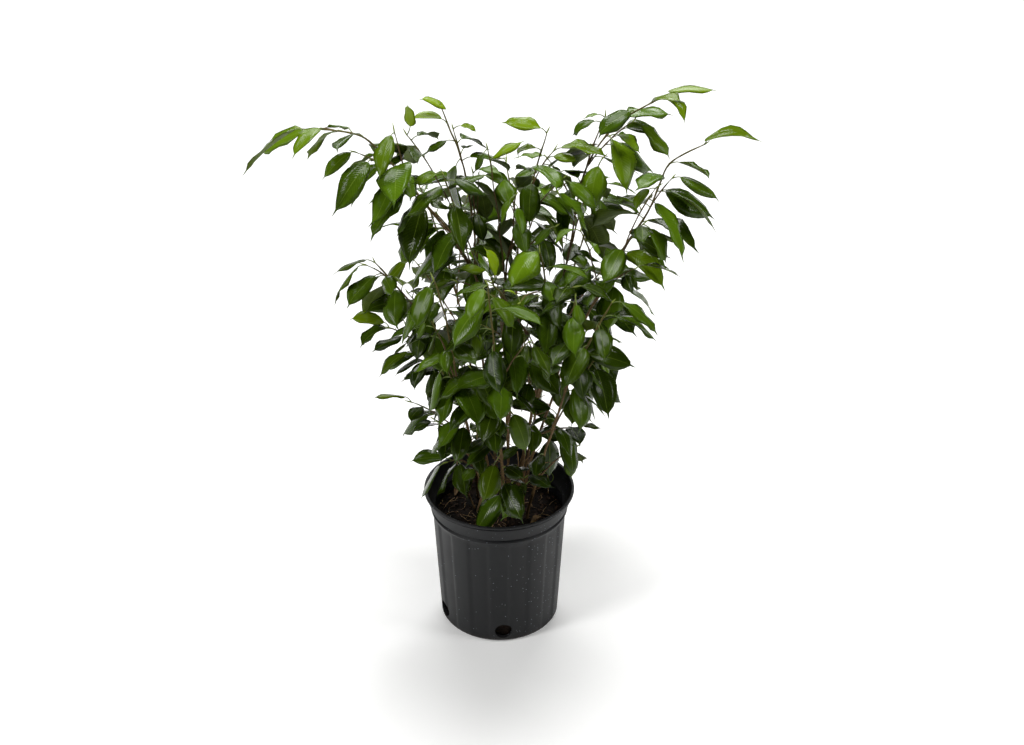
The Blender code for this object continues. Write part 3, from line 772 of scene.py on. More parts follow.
FALLEN_LEAVES = (
    FallenLeaf((-16, 17), (-26, -12), 5.5, 1.0),
    FallenLeaf((34, -38), (50, -20), 5.0, 0.3),
    FallenLeaf((-50, 22), (-38, 44), 6.0, 0.2),
)
STRAWS = (
    Shoot(((-5, 26), (-9, 4), (-15, -12), (-18, -29)), 0.5),
    Shoot(((-1, -22), (-8, -27), (-13, -33)), 0.4),
    Shoot(((-50, 18), (-57, 10), (-62, 0)), 0.45, tone=1.0),
    Shoot(((-66, 13), (-62, 8), (-58, 9)), 0.45, tone=1.0),
    Shoot(((-9, 0, 215), (2, 2, 207), (12, 4, 202)), 0.7, tone=0.9),
    Shoot(((20, -5, 212), (21, -5, 198), (20, -4, 186)), 0.55),
    Shoot(((-26, -4, 135), (-34, -4, 157), (-42, -4, 177), (-46, -6, 202)), 1.1, tone=0.2),
)
SPROUT = (
    Shoot(((55, 28, 136), (55, 28, 143), (55, 24, 153), (54, 22, 161), (53, 22, 167)), 0.75),
    Shoot(((53, 22, 167), (48, 20, 168), (45, 20, 172), (41, 18, 184), (37, 17, 187)), 0.65, is_green=True),
    Shoot(((55, 24, 153), (59, 22, 157), (60, 22, 163), (57, 22, 167), (53, 22, 167)), 0.5, is_green=True),
    Shoot(((53, 22, 167), (54, 20, 172), (52, 18, 177)), 0.4),
    Shoot(((45, 20, 172), (42, 21, 173), (40, 22, 171)), 0.4, is_green=True),
)


@dataclass
class PottingMix:
    """Peat and bark with chips, crumbs, perlite and litter on its surface."""

    pot: NurseryPot
    level: float = 135 * MM
    relief: float = 3.5 * MM
    chip_size_mm: tuple[tuple[float, float], ...] = ((2, 6), (1.2, 3), (0.5, 1.3))
    crumb_size_mm: tuple[float, float] = (0.7, 1.9)
    crumb_shares: tuple[tuple[float, float], ...] = ((0.6, 1), (0.5, 0.9))
    fibre_joints: int = 5
    fibre_bend: float = 0.45
    fibre_step_mm: tuple[float, float] = (2, 4.5)
    fibre_height_mm: tuple[float, float] = (0.2, 1.4)
    fibre_radius_mm: tuple[float, float] = (0.2, 0.5)
    fibre_sides: int = 5
    hummocks_per_m: float = 45
    crumbs_per_m: tuple[float, float] = (170, 420)
    crumb_relief: tuple[float, float] = (0.9 * MM, 0.5 * MM)
    wall_dip: float = 3 * MM
    gap: float = 1.0 * MM
    rings: int = 46
    turn_steps: int = 150
    chips: int = 300
    crumbs: int = 460
    grains: int = 22
    fibres: int = 60
    chip_seed: int = 7
    litter_seed: int = 11
    sharp_deg: float = 35

    def inner_radius(self, height: float) -> float:
        """How far out the mix reaches at a height, just clear of the wall's recessed panels."""
        return self.pot.body_radius(height) - self.pot.wall - self.pot.flute_depth - self.gap

    @property
    def edge_radius(self) -> float:
        """How far out the surface reaches."""
        return self.inner_radius(self.level)

    def surface(self, x: float, y: float) -> float:
        """The height of the mix: the solid's hummocks with finer crumbs, falling a little at the wall.

        Args:
            x: the place to the right.
            y: the place to the back.

        Returns:
            The height.
        """
        out = math.hypot(x, y)
        hummocks = noise(Vector((x, y, 0)) * self.hummocks_per_m) + 0.8 * (1 - out / self.pot.body_top_radius)
        (coarse, fine), (high, low) = self.crumbs_per_m, self.crumb_relief
        crumbs = high * noise(Vector((x, y, 0)) * coarse) + low * noise(Vector((x, y, 0.1)) * fine)
        dip = self.wall_dip * smoothstep(0.8, 1.0, out / self.edge_radius)
        return self.level + self.relief * hummocks + crumbs - dip

    def build(self) -> list[Object]:
        """Builds the bed and what lies on it."""
        return [self.bed(), self.scatter(), self.litter(), self.sprout()]

    def bed(self) -> Object:
        """The body of the mix, which also shows through the drain holes.

        Returns:
            The piece.
        """
        side, foot = self.edge_radius, self.inner_radius(0)
        profile = [(0, 2.2 * MM), (foot - 7 * MM, 2.2 * MM), (foot - 2 * MM, 5 * MM), (foot, 10 * MM)]
        profile += [(side, 0.9 * self.level)]
        profile += [(side * (1 - k / self.rings), self.level) for k in range(self.rings + 1)]
        form = turned(profile, self.turn_steps)
        for vert in form.verts:
            if vert.co.z > 0.95 * self.level:
                vert.co.z = self.surface(vert.co.x, vert.co.y)
            else:
                vert.co += vert.co.normalized() * 0.8 * MM * noise(vert.co * 300)
        return finished_piece(form, "peat_bed", [PEAT], ["potting_mix"])

    def spot(self, draw: Random) -> Vector:
        """A random place on the surface.

        Args:
            draw: the random draws.

        Returns:
            The place.
        """
        radius = self.edge_radius * 0.97 * math.sqrt(draw.random())
        turn = draw.uniform(0, FULL_TURN)
        x, y = radius * math.cos(turn), radius * math.sin(turn)
        return Vector((x, y, self.surface(x, y)))

    def scatter(self) -> Object:
        """Bark chips, peat crumbs and perlite grains, each one turned and broken its own way.

        Returns:
            The piece.
        """
        draw = Random(self.chip_seed)
        form = bmesh.new()
        tone = form.verts.layers.float.new("tone")
        for number in range(self.chips + self.crumbs + self.grains):
            is_chip = number < self.chips
            is_grain = number >= self.chips + self.crumbs
            if is_chip:
                size = Vector([draw.uniform(*span) for span in self.chip_size_mm]) * MM
                lump = bmesh.ops.create_cube(form, size=1)["verts"]
            else:
                shape = Vector((1, *[draw.uniform(*span) for span in self.crumb_shares]))
                size = shape * draw.uniform(*self.crumb_size_mm) * MM
                lump = bmesh.ops.create_icosphere(form, subdivisions=1, radius=0.5)["verts"]
            seed = Vector((number, 0.3 * number, 0))
            for vert in lump:
                vert.co *= 1 + 0.5 * noise(vert.co * 1.7 + seed)
            paint(lump, tone, ((number * 0.37) % 1) ** 2)
            tilt = Matrix.Rotation(draw.uniform(0, FULL_TURN), 4, "Z") @ Matrix.Rotation(draw.gauss(0, 0.35), 4, "Y")
            place = Matrix.Translation(self.spot(draw) + UP * 0.3 * size.z) @ tilt @ Matrix.Diagonal((*size, 1))
            bmesh.ops.transform(form, matrix=place, verts=lump)
            for face in {face for vert in lump for face in vert.link_faces}:
                face.material_index = 0 if is_chip else 2 if is_grain else 1
        piece = finished_piece(form, "bark_chips", [BARK_CHIP, PEAT, PERLITE], [])
        piece.data.set_sharp_from_angle(angle=math.radians(self.sharp_deg))
        return piece

    def fibre_line(self, draw: Random) -> list[Vector]:
        """A dead root's wandering line over the mix.

        Args:
            draw: the random draws.

        Returns:
            Its points, fewer where it would run into the wall.
        """
        line = [self.spot(draw)]
        turn = draw.uniform(0, FULL_TURN)
        for _ in range(self.fibre_joints):
            turn += draw.gauss(0, self.fibre_bend)
            way = Vector((math.cos(turn), math.sin(turn), 0))
            ahead = line[-1] + way * draw.uniform(*self.fibre_step_mm) * MM
            if math.hypot(ahead.x, ahead.y) < self.edge_radius * 0.96:
                height = self.surface(ahead.x, ahead.y) + draw.uniform(*self.fibre_height_mm) * MM
                line.append(Vector((ahead.x, ahead.y, height)))
        return line

    def litter(self) -> Object:
        """Fine dead roots, a few dry twigs and dead leaves that lie on the mix.

        Returns:
            The piece.
        """
        draw = Random(self.litter_seed)
        form = bmesh.new()
        tone = form.verts.layers.float.new("tone")
        for number in range(self.fibres):
            line = self.fibre_line(draw)
            if len(line) > 2:
                thick = draw.uniform(*self.fibre_radius_mm) * MM
                rings = sweep(form, line, [thick * (1 - 0.1 * k) for k in range(len(line))], self.fibre_sides)
                paint([vert for ring in rings for vert in ring], tone, (number * 0.29) % 1)
        for straw in STRAWS:
            self.add_shoot(form, straw)
        for leaf in FALLEN_LEAVES:
            self.drop_leaf(form, leaf)
        return finished_piece(form, "dry_litter", [DRY_LITTER], [])

    def add_shoot(self, form: BMesh, shoot: Shoot) -> None:
        """Adds a shoot that thins to half at its end.

        Args:
            form: what it joins, whose second finish is the green one.
            shoot: the shoot.
        """
        points = []
        for place in shoot.line:
            x, y = place[0] * MM, place[1] * MM
            points.append(Vector((x, y, place[2] * MM if len(place) > 2 else self.surface(x, y) + 0.8 * MM)))
        curve = rounded(points, 3)
        radii = [shoot.radius * MM * (1 - 0.5 * k / (len(curve) - 1)) for k in range(len(curve))]
        rings = sweep(form, curve, radii, 6, int(shoot.is_green))
        paint([vert for ring in rings for vert in ring], form.verts.layers.float["tone"], shoot.tone)

    def drop_leaf(self, form: BMesh, leaf: FallenLeaf) -> None:
        """Lays a dead leaf on the mix.

        Args:
            form: the litter.
            leaf: the leaf.
        """
        blank = vertices_in(BladeBlank().cut(form))
        start, half_width = Vector(leaf.base) * MM, leaf.half_width * MM
        along = Vector(leaf.tip) * MM - start
        side = Vector((-along.y, along.x)).normalized()
        for vert in blank:
            share, across, face = vert.co
            width = half_width * BladeBlank.width_at(share)
            roll = 2.1 * across
            on = start + along * share + side * width * 0.6 * math.sin(roll) + side * 2 * MM * math.sin(3 * share)
            arch = 0.8 + 3.2 * math.sin(math.pi * share) ** 2 + 0.15 * face
            height = width * 0.6 * (1 - math.cos(roll)) + arch * MM
            vert.co = (on.x, on.y, self.surface(on.x, on.y) + height)
        paint(blank, form.verts.layers.float["tone"], leaf.tone)

    def sprout(self) -> Object:
        """A spindly sprout with curling tendrils that stands in the mix behind the stems on the right.

        Returns:
            The piece.
        """
        form = bmesh.new()
        form.verts.layers.float.new("tone")
        for shoot in SPROUT:
            self.add_shoot(form, shoot)
        return finished_piece(form, "spindly_sprout", [DRY_LITTER, LEAF_STALK], [])


# The plant's plan


@dataclass(frozen=True)
class TwigPlan:
    """One twig as it was read from the photograph, in millimetres.

    Attributes:
        share: the share of its stem at its root.
        tip: where it ends.
        leaves: how many leaves it carries.
        reaches: where the tips of its outermost leaves reach, from its tip down, if they are posed.
    """

    share: float
    tip: Place
    leaves: int
    reaches: Reaches = ()


@dataclass(frozen=True)
class StemPlan:
    """One stem as it was read from the photograph, in millimetres.

    Attributes:
        route: its foot (x, y) and the places (x, y, z) that it passes.
        leaf: how long its leaves grow.
        leafy_from: the share of it above which it carries leaves.
        reaches: where the tips of its outermost leaves reach, from its end down, if they are posed.
        twigs: its twigs.
    """

    route: tuple[tuple[float, ...], ...]
    leaf: float
    leafy_from: float
    reaches: Reaches
    twigs: tuple[TwigPlan, ...]


STEMS: dict[str, StemPlan] = {
    "left_arm": StemPlan(
        ((5, 6), (2, 2, 215), (-6, -4, 345), (-30, -15, 444), (-76, -20, 515), (-128, -28, 579), (-184, -30, 588)),
        60,
        0.56,
        ((-241, -52, 543), (-201, -66, 567), (-185, 4, 537), (-176, -74, 576)),
        (
            TwigPlan(0.94, (-179, -8, 577), 1, ((-234, 2, 541),)),
            TwigPlan(0.78, (-98, -30, 585), 4, ((-111, -70, 544),)),
            TwigPlan(0.68, (-134, -45, 571), 5, ((-161, -76, 546),)),
            TwigPlan(0.54, (-86, -44, 532), 4, ((-115, -58, 501), (-92, -62, 486))),
            TwigPlan(0.56, (-52, -46, 549), 6, ((-76, -62, 533),)),
            TwigPlan(0.50, (-41, -26, 426), 1, ((-69, -40, 418),)),
        ),
    ),
    "right_arm": StemPlan(
        ((27, 14), (38, 16, 200), (72, 10, 318), (110, 0, 415), (150, 0, 492), (168, 0, 540), (202, 0, 562)),
        58,
        0.50,
        ((263, -4, 553), None, (210, -20, 526)),
        (
            TwigPlan(0.78, (171, -12, 531), 3, ((216, -24, 504),)),
            TwigPlan(0.70, (154, -28, 528), 3, ((132, -42, 504),)),
            TwigPlan(0.64, (142, -40, 495), 5, ((159, -52, 452), (181, -8, 449))),
            TwigPlan(0.54, (136, -46, 450), 4, ((182, -52, 435), (130, -62, 421))),
            TwigPlan(0.58, (81, -42, 488), 5, ((53, -56, 472), (99, -52, 459))),
            TwigPlan(0.42, (81, -60, 375), 4, ((110, -72, 335),)),
            TwigPlan(0.32, (64, -68, 345), 2, ((63, -78, 301),)),
        ),
    ),
    "top_right": StemPlan(
        ((20, 32), (32, 36, 215), (58, 48, 330), (76, 50, 440), (89, 50, 516), (122, 38, 571), (168, 25, 604)),
        56,
        0.55,
        ((216, 18, 603), (176, -12, 601), (100, 6, 557)),
        (
            TwigPlan(0.76, (136, 50, 567), 4, ((171, 44, 524),)),
            TwigPlan(0.66, (51, 62, 523), 4, ((13, 50, 521),)),
            TwigPlan(0.84, (111, 28, 560), 2, ((138, 14, 538),)),
            TwigPlan(0.54, (103, 15, 540), 5, ((95, 0, 486),)),
            TwigPlan(0.72, (107, 36, 577), 3, ((84, 30, 568),)),
        ),
    ),
    "top_left": StemPlan(
        ((1, 27), (-10, 32, 230), (-23, 44, 370), (-26, 46, 458), (-37, 46, 528), (-57, 45, 584)),
        54,
        0.50,
        ((-81, 40, 589), (-90, 38, 568), (-72, 34, 534)),
        (
            TwigPlan(0.74, (-44, 34, 566), 5, ((-21, 24, 556),)),
            TwigPlan(0.62, (-91, 30, 561), 3, ((-96, 26, 593),)),
            TwigPlan(0.56, (-61, 12, 483), 5, ((-82, -6, 430), (-69, -12, 430))),
            TwigPlan(0.50, (-21, 60, 505), 4, ((14, 50, 491),)),
            TwigPlan(0.66, (-25, 24, 523), 1, ((8, 12, 515),)),
        ),
    ),
    "left_low": StemPlan(
        ((-24, 18), (-28, 10, 195), (-40, -10, 280), (-62, -25, 358), (-92, -34, 412), (-122, -36, 452)),
        50,
        0.40,
        ((-163, -46, 434), (-131, -58, 430)),
        (
            TwigPlan(0.82, (-129, -48, 455), 4, ((-158, -60, 411), (-139, -66, 401))),
            TwigPlan(0.62, (-89, -50, 425), 4, ((-69, -62, 414),)),
            TwigPlan(0.54, (-110, -50, 386), 4, ((-152, -58, 393), (-111, -48, 406))),
            TwigPlan(0.42, (-83, -58, 364), 4, ((-117, -70, 333), (-85, -74, 323))),
            TwigPlan(0.22, (-92, -24, 285), 3, ((-135, -30, 289), (-103, -44, 267))),
            TwigPlan(0.14, (-68, -34, 270), 2, ((-60, -46, 243), (-54, -56, 225))),
            TwigPlan(0.12, (-55, -36, 218), 3, ((-80, -46, 173),)),
        ),
    ),
    "centre_right": StemPlan(
        ((19, -2), (27, -8, 208), (37, -28, 290), (43, -50, 375), (47, -60, 437), (41, -62, 474)),
        50,
        0.45,
        ((15, -90, 441), (91, -84, 447), (28, -92, 402)),
        (
            TwigPlan(0.80, (74, -84, 448), 6, ((111, -94, 428),)),
            TwigPlan(0.64, (-11, -106, 453), 6, ((9, -118, 412),)),
            TwigPlan(0.52, (-16, -112, 422), 5, ((-19, -122, 388),)),
            TwigPlan(0.60, (-6, -104, 462), 1, ((-19, -100, 498),)),
            TwigPlan(0.86, (21, -126, 452), 1, ((2, -130, 460),)),
            TwigPlan(0.56, (42, -90, 376), 4, ((54, -100, 343),)),
            TwigPlan(0.38, (25, -100, 401), 5, ((0, -88, 359),)),
            TwigPlan(0.26, (82, -42, 264), 4, ((108, -48, 257), (76, -56, 209))),
            TwigPlan(0.20, (9, -104, 325), 1, ((24, -112, 274),)),
            TwigPlan(0.36, (33, -76, 345), 1, ((8, -90, 313),)),
        ),
    ),
    "centre": StemPlan(
        ((12, 18), (9, 22, 230), (5, 22, 370), (14, 20, 450), (34, 20, 514), (48, 20, 566)),
        52,
        0.45,
        ((1, 10, 572), (15, 0, 542), (61, -48, 523)),
        (
            TwigPlan(0.84, (56, 34, 542), 4, ((111, 22, 533),)),
            TwigPlan(0.72, (18, -24, 519), 5, ((4, -38, 490), (22, -38, 476))),
            TwigPlan(0.68, (63, -15, 531), 5, ((93, -28, 495),)),
            TwigPlan(0.60, (-10, 0, 558), 5, ((-19, -14, 534), (24, -4, 570))),
            TwigPlan(0.44, (-7, -44, 441), 5, ((-56, -54, 444), (-22, -50, 475))),
            TwigPlan(0.62, (57, -30, 488), 1, ((41, -44, 464),)),
        ),
    ),
    "front": StemPlan(
        ((7, -27), (4, -56, 222), (0, -92, 305), (-3, -125, 400), (-8, -150, 482)),
        46,
        0.36,
        (),
        (
            TwigPlan(0.60, (30, -152, 424), 5),
            TwigPlan(0.34, (-26, -118, 378), 5, ((-9, -128, 333),)),
            TwigPlan(0.18, (37, -56, 210), 3, ((20, -70, 171),)),
            TwigPlan(0.10, (14, -54, 203), 2, ((11, -68, 162),)),
            TwigPlan(0.14, (-6, -50, 222), 1, ((-13, -64, 189),)),
        ),
    ),
    "front_left": StemPlan(
        ((-13, -24), (-22, -58, 225), (-36, -95, 325), (-48, -125, 432), (-58, -140, 482)),
        46,
        0.36,
        (),
        (
            TwigPlan(0.58, (-66, -104, 428), 6, ((-71, -112, 401),)),
            TwigPlan(0.38, (-50, -108, 374), 5, ((-63, -118, 323),)),
            TwigPlan(0.24, (-22, -64, 276), 1, ((-41, -76, 261),)),
            TwigPlan(0.18, (-2, -50, 230), 3, ((-22, -78, 190),)),
        ),
    ),
    "front_right": StemPlan(
        ((31, -20), (42, -44, 208), (56, -76, 285), (76, -100, 368), (109, -112, 446)),
        46,
        0.38,
        ((151, -122, 410), (152, -112, 395)),
        (
            TwigPlan(0.62, (74, -120, 455), 5, ((76, -130, 425),)),
            TwigPlan(0.44, (105, -84, 380), 3, ((131, -92, 361),)),
            TwigPlan(0.18, (83, -32, 236), 2, ((77, -44, 201),)),
        ),
    ),
    "back_left": StemPlan(
        ((-9, 38), (-26, 74, 230), (-42, 105, 320), (-64, 130, 400), (-88, 142, 464)),
        54,
        0.36,
        (),
        (
            TwigPlan(0.62, (-36, 160, 440), 4),
            TwigPlan(0.46, (-94, 106, 390), 5),
            TwigPlan(0.28, (-62, 128, 306), 4),
        ),
    ),
    "back_right": StemPlan(
        ((26, 42), (44, 80, 228), (68, 114, 315), (90, 136, 392), (112, 148, 458)),
        54,
        0.36,
        (),
        (
            TwigPlan(0.62, (66, 168, 440), 4),
            TwigPlan(0.46, (124, 106, 388), 5),
            TwigPlan(0.28, (90, 130, 306), 4),
        ),
    ),
    "back": StemPlan(
        ((9, 49), (12, 92, 220), (18, 132, 315), (20, 158, 400), (8, 176, 474)),
        54,
        0.36,
        (),
        (
            TwigPlan(0.62, (46, 186, 430), 4),
            TwigPlan(0.44, (-18, 172, 372), 5),
            TwigPlan(0.26, (42, 160, 314), 4),
        ),
    ),
}


@dataclass(frozen=True)
class GrowthRule:
    """The sizes and ranges by which the solids' wood and leaves grow, kept the same here."""

    mix_level: float = 135 * MM
    foot_depth: float = 35 * MM
    neck_height: float = 8 * MM
    stem_radii: tuple[float, float] = (3.0 * MM, 1.3 * MM)
    stem_sides: int = 4
    twig_root_share: float = 0.7
    twig_tip_radius: float = 1.1 * MM
    twig_sides: int = 3
    twig_spans: int = 3
    twig_arch: float = 0.16
    leaf_width_share: float = 0.48
    end_leaf_share: float = 0.86
    petiole: float = 8 * MM
    petiole_lift_deg: float = 26
    root_sink: float = 1 * MM
    internode: float = 19 * MM
    spacing_share: tuple[float, float] = (0.85, 1.1)
    stray_deg: tuple[float, float] = (-20, 20)
    side_deg: tuple[float, float] = (24, 60)
    spiral_deg: float = 140
    spiral_share: float = 0.8
    level_wood: float = 0.62
    pitch_deg: tuple[float, float] = (-42, 4)
    roll_deg: tuple[float, float] = (-22, 22)
    length_share: tuple[float, float] = (0.84, 1.2)
    bend_deg: tuple[float, float] = (22, 52)
    clearance: float = 1.4 * MM
    turns_deg: tuple[tuple[int, int, int], ...] = (
        (0, 0, 0), (18, 0, 8), (-18, 0, -8), (0, -18, 0), (0, 20, 0), (34, -8, 0), (-34, -8, 0), (20, 24, -12),
        (-20, 24, 12), (50, 0, 14), (-50, 0, -14), (0, -36, 0), (38, 30, 0), (-38, 30, 0), (70, -14, 0), (-70, -14, 0),
    )


@dataclass(frozen=True)
class FillerRule:
    """How the small leaves grow that close the crown between the others."""

    seed: int = 77
    count_share: float = 0.75
    offset: tuple[float, float] = (0.35, 0.65)
    pitch_deg: tuple[float, float] = (-24, 24)
    length_share: tuple[float, float] = (0.5, 0.85)
    odds: float = 0.5
    high_odds: float = 0.35
    high_from: float = 380 * MM
    lowest: float = 195 * MM


RULE = GrowthRule()
FILLER = FillerRule()
WAVER = 1.1 * MM
WAVERS_PER_M = 42


# Growth, by the solids' rule


def loft(sections: list[list[Vector]]) -> Shape:
    """The coarse closed skin over sections of equal count, which only the tests of clearance use.

    Args:
        sections: rings of points.

    Returns:
        The skin's points and faces.
    """
    count = len(sections[0])
    points = [p for section in sections for p in section]
    faces = [tuple(reversed(range(count)))]
    for row in range(len(sections) - 1):
        for k in range(count):
            a, b = row * count + k, row * count + (k + 1) % count
            faces.append((a, b, b + count, a + count))
    last = (len(sections) - 1) * count
    faces.append(tuple(range(last, last + count)))
    return points, faces


def triangles(faces: list[tuple[int, ...]]) -> list[tuple[int, int, int]]:
    """Faces as a fan of triangles each, for a search tree."""
    return [(face[0], face[k], face[k + 1]) for face in faces for k in range(1, len(face) - 1)]


def lengths_along(line: list[Vector]) -> list[float]:
    """The distance along a line to each of its points."""
    return list(accumulate(((b - a).length for a, b in zip(line, line[1:])), initial=0.0))


def waver(point: Vector) -> Vector:
    """How far grown wood strays from its smooth line at a place."""
    return Vector([noise(point * WAVERS_PER_M + UP * apart) for apart in (0, 57.3, 131.9)]) * WAVER


class Wood:
    """A stem: the coarse line that its leaves were placed on, and the grown one that shows."""

    sides: int = RULE.stem_sides
    first_edge: Vector = Vector((1, 0, 0))
    steady: float = 30 * MM

    def __init__(
        self, line: list[Vector], radii: tuple[float, float], leaves: int, leaf_length: float, reaches: Reaches
    ) -> None:
        """Takes the wood's plan.

        Args:
            line: its coarse stations.
            radii: its radius at its root and at its tip.
            leaves: how many leaves it carries.
            leaf_length: how long they grow.
            reaches: where the outermost leaves reach, in millimetres.
        """
        self.line = line
        self.marks = lengths_along(line)
        self.length = self.marks[-1]
        self.radii = radii
        self.leaves = leaves
        self.leaf_length = leaf_length
        self.reaches = [place and Vector(place) * MM for place in reaches]

    def radius_at(self, distance: float) -> float:
        """The radius at a distance from the root."""
        root, tip = self.radii
        return root + (tip - root) * distance / self.length

    def way_at(self, station: int) -> Vector:
        """Which way the wood runs at one of its stations."""
        return self.line[min(station + 1, len(self.line) - 1)] - self.line[max(station - 1, 0)]

    def span_at(self, distance: float) -> tuple[int, float]:
        """Finds a distance on the coarse line.

        Args:
            distance: how far along the wood.

        Returns:
            The span's number, and the share of the span that lies behind.
        """
        distance = min(max(distance, 0), self.length)
        last = len(self.line) - 2
        span = next(k for k in range(last + 1) if distance <= self.marks[k + 1] or k == last)
        return span, (distance - self.marks[span]) / (self.marks[span + 1] - self.marks[span])

    def place_at(self, distance: float) -> tuple[Vector, Vector]:
        """Finds a place on the coarse line.

        Args:
            distance: how far along the wood.

        Returns:
            The point and the direction.
        """
        span, share = self.span_at(distance)
        way = self.line[span + 1] - self.line[span]
        return self.line[span] + way * share, way.normalized()

    def skin(self) -> Shape:
        """The coarse tube round the line.

        Returns:
            Its points and faces.
        """
        sections = []
        side = self.first_edge
        for station, mark in enumerate(self.marks):
            along = self.way_at(station).normalized()
            side = (side - along * side.dot(along)).normalized()
            across = along.cross(side)
            turns = [FULL_TURN * n / self.sides for n in range(self.sides)]
            ring = [(side * math.cos(a) + across * math.sin(a)) * self.radius_at(mark) for a in turns]
            sections.append([self.line[station] + offset for offset in ring])
        return loft(sections)

    def smooth_at(self, distance: float) -> Vector:
        """The grown line's point beside the coarse line's: a wavering curve through the stations.

        Args:
            distance: how far along the wood.

        Returns:
            The point.
        """
        span, t = self.span_at(distance)
        if span == 0:
            return self.line[0].lerp(self.line[1], t)
        on = on_curve(with_ends(self.line[1:])[span - 1 : span + 3], t)
        return on + waver(on) * smoothstep(0, self.steady, distance - self.marks[1])


class Twig(Wood):
    """Wood that arches out of a stem along a curve between its root and its tip."""

    sides = RULE.twig_sides
    first_edge = UP
    steady = 12 * MM

    def __init__(self, stem: Wood, distance: float, plan: TwigPlan) -> None:
        """Roots the twig in its stem.

        Args:
            stem: the stem.
            distance: how far along it the twig grows.
            plan: the twig's plan.
        """
        self.stem = stem
        self.root_distance = distance
        root, _ = stem.place_at(distance)
        tip = Vector(plan.tip) * MM
        self.middle = (root + tip) / 2 + UP * RULE.twig_arch * (tip - root).length
        line = [on_arch(root, self.middle, tip, k / RULE.twig_spans) for k in range(RULE.twig_spans + 1)]
        radii = (RULE.twig_root_share * stem.radius_at(distance), RULE.twig_tip_radius)
        super().__init__(line, radii, plan.leaves, stem.leaf_length, plan.reaches)

    def way_at(self, station: int) -> Vector:
        """Straight from root to tip, at every station."""
        return self.line[-1] - self.line[0]

    def smooth_at(self, distance: float) -> Vector:
        """The arch's point beside the coarse line's, where the arch starts on the stem's grown line.

        Args:
            distance: how far along the wood.

        Returns:
            The point.
        """
        t = sum(self.span_at(distance)) / RULE.twig_spans
        on = on_arch(self.stem.smooth_at(self.root_distance), self.middle, self.line[-1], t)
        return on + waver(on) * smoothstep(0, self.steady, distance)


def stem_line(route: tuple[tuple[float, ...], ...]) -> list[Vector]:
    """A stem's coarse stations: a plumb foot in the mix, then two to each stretch of a curve through its route.

    Args:
        route: the plan's route, in millimetres.

    Returns:
        The stations.
    """
    foot = Vector((*route[0], 0)) * MM
    low = foot + UP * (RULE.mix_level - RULE.foot_depth)
    neck = foot + UP * (RULE.mix_level + RULE.neck_height)
    return [low, *rounded([neck, *(Vector(p) * MM for p in route[1:])], 2)]


def grow_wood(plan: StemPlan) -> list[Wood]:
    """A stem and its twigs.

    Args:
        plan: the stem's plan.

    Returns:
        The stem first, then its twigs.
    """
    line = stem_line(plan.route)
    below = (line[1] - line[0]).length
    above = lengths_along(line)[-1] - below
    own_leaves = int(above * (1 - plan.leafy_from) / RULE.internode)
    stem = Wood(line, RULE.stem_radii, own_leaves, plan.leaf * MM, plan.reaches)
    return [stem, *(Twig(stem, below + twig.share * above, twig) for twig in plan.twigs)]


class LeafPlace:
    """Where one leaf stands: its root in the wood, its own axes, and the arch of its midrib."""

    def __init__(
        self,
        wood: Wood,
        distance: float,
        angles: tuple[float, float, float],
        length: float,
        bend: float,
        rank: int,
    ) -> None:
        """Works out the leaf's axes and its base.

        Args:
            wood: what it grows on.
            distance: how far along the wood.
            angles: its heading, pitch and roll.
            length: its blade's length.
            bend: how far its blade arches.
            rank: its number from the wood's tip.
        """
        heading, pitch, roll = angles
        level = Vector((math.cos(heading), math.sin(heading), 0))
        flat_side = UP.cross(level)
        flat_normal = UP * math.cos(pitch) - level * math.sin(pitch)
        self.along = level * math.cos(pitch) + UP * math.sin(pitch)
        self.side = flat_side * math.cos(roll) + flat_normal * math.sin(roll)
        self.normal = flat_normal * math.cos(roll) - flat_side * math.sin(roll)
        lift = math.radians(RULE.petiole_lift_deg)
        self.petiole_way = self.along * math.cos(lift) + self.normal * math.sin(lift)
        self.wood = wood
        self.distance = distance
        self.rank = rank
        self.root, _ = wood.place_at(distance - RULE.root_sink)
        self.wood_radius = wood.radius_at(distance)
        self.base = self.root + self.petiole_way * (self.wood_radius + RULE.petiole)
        self.length = length
        self.half_width = length * RULE.leaf_width_share / 2
        self.bend = bend

    def rib(self, share: float) -> tuple[Vector, Vector]:
        """Finds a place on the midrib.

        Args:
            share: the share of the blade's length.

        Returns:
            The point and the normal.
        """
        turn = self.bend * share
        reach = self.length / self.bend
        point = self.base + self.along * (reach * math.sin(turn)) - self.normal * (reach * (1 - math.cos(turn)))
        return point, self.normal * math.cos(turn) + self.along * math.sin(turn)

    def room(self) -> Space:
        """The space that the leaf takes up with its clearance.

        Returns:
            Its search tree, its middle and its reach.
        """
        sections = []
        for share, width in ((0.0, 0.3), (0.2, 1.0), (0.5, 1.08), (0.8, 0.55), (1.0, 0.06)):
            point, normal = self.rib(share)
            out = self.side * (width * self.half_width + RULE.clearance)
            thick = normal * RULE.clearance
            sections.append([point + out, point + thick, point - out, point - thick])
        start = self.root + self.petiole_way * (self.wood_radius + 2 * RULE.clearance)
        neck = [start + (p - self.base) * 0.3 for p in sections[0]]
        points, faces = loft([neck, *sections])
        middle = self.rib(0.4)[0]
        return BVHTree.FromPolygons(points, triangles(faces)), middle, max((p - middle).length for p in points)


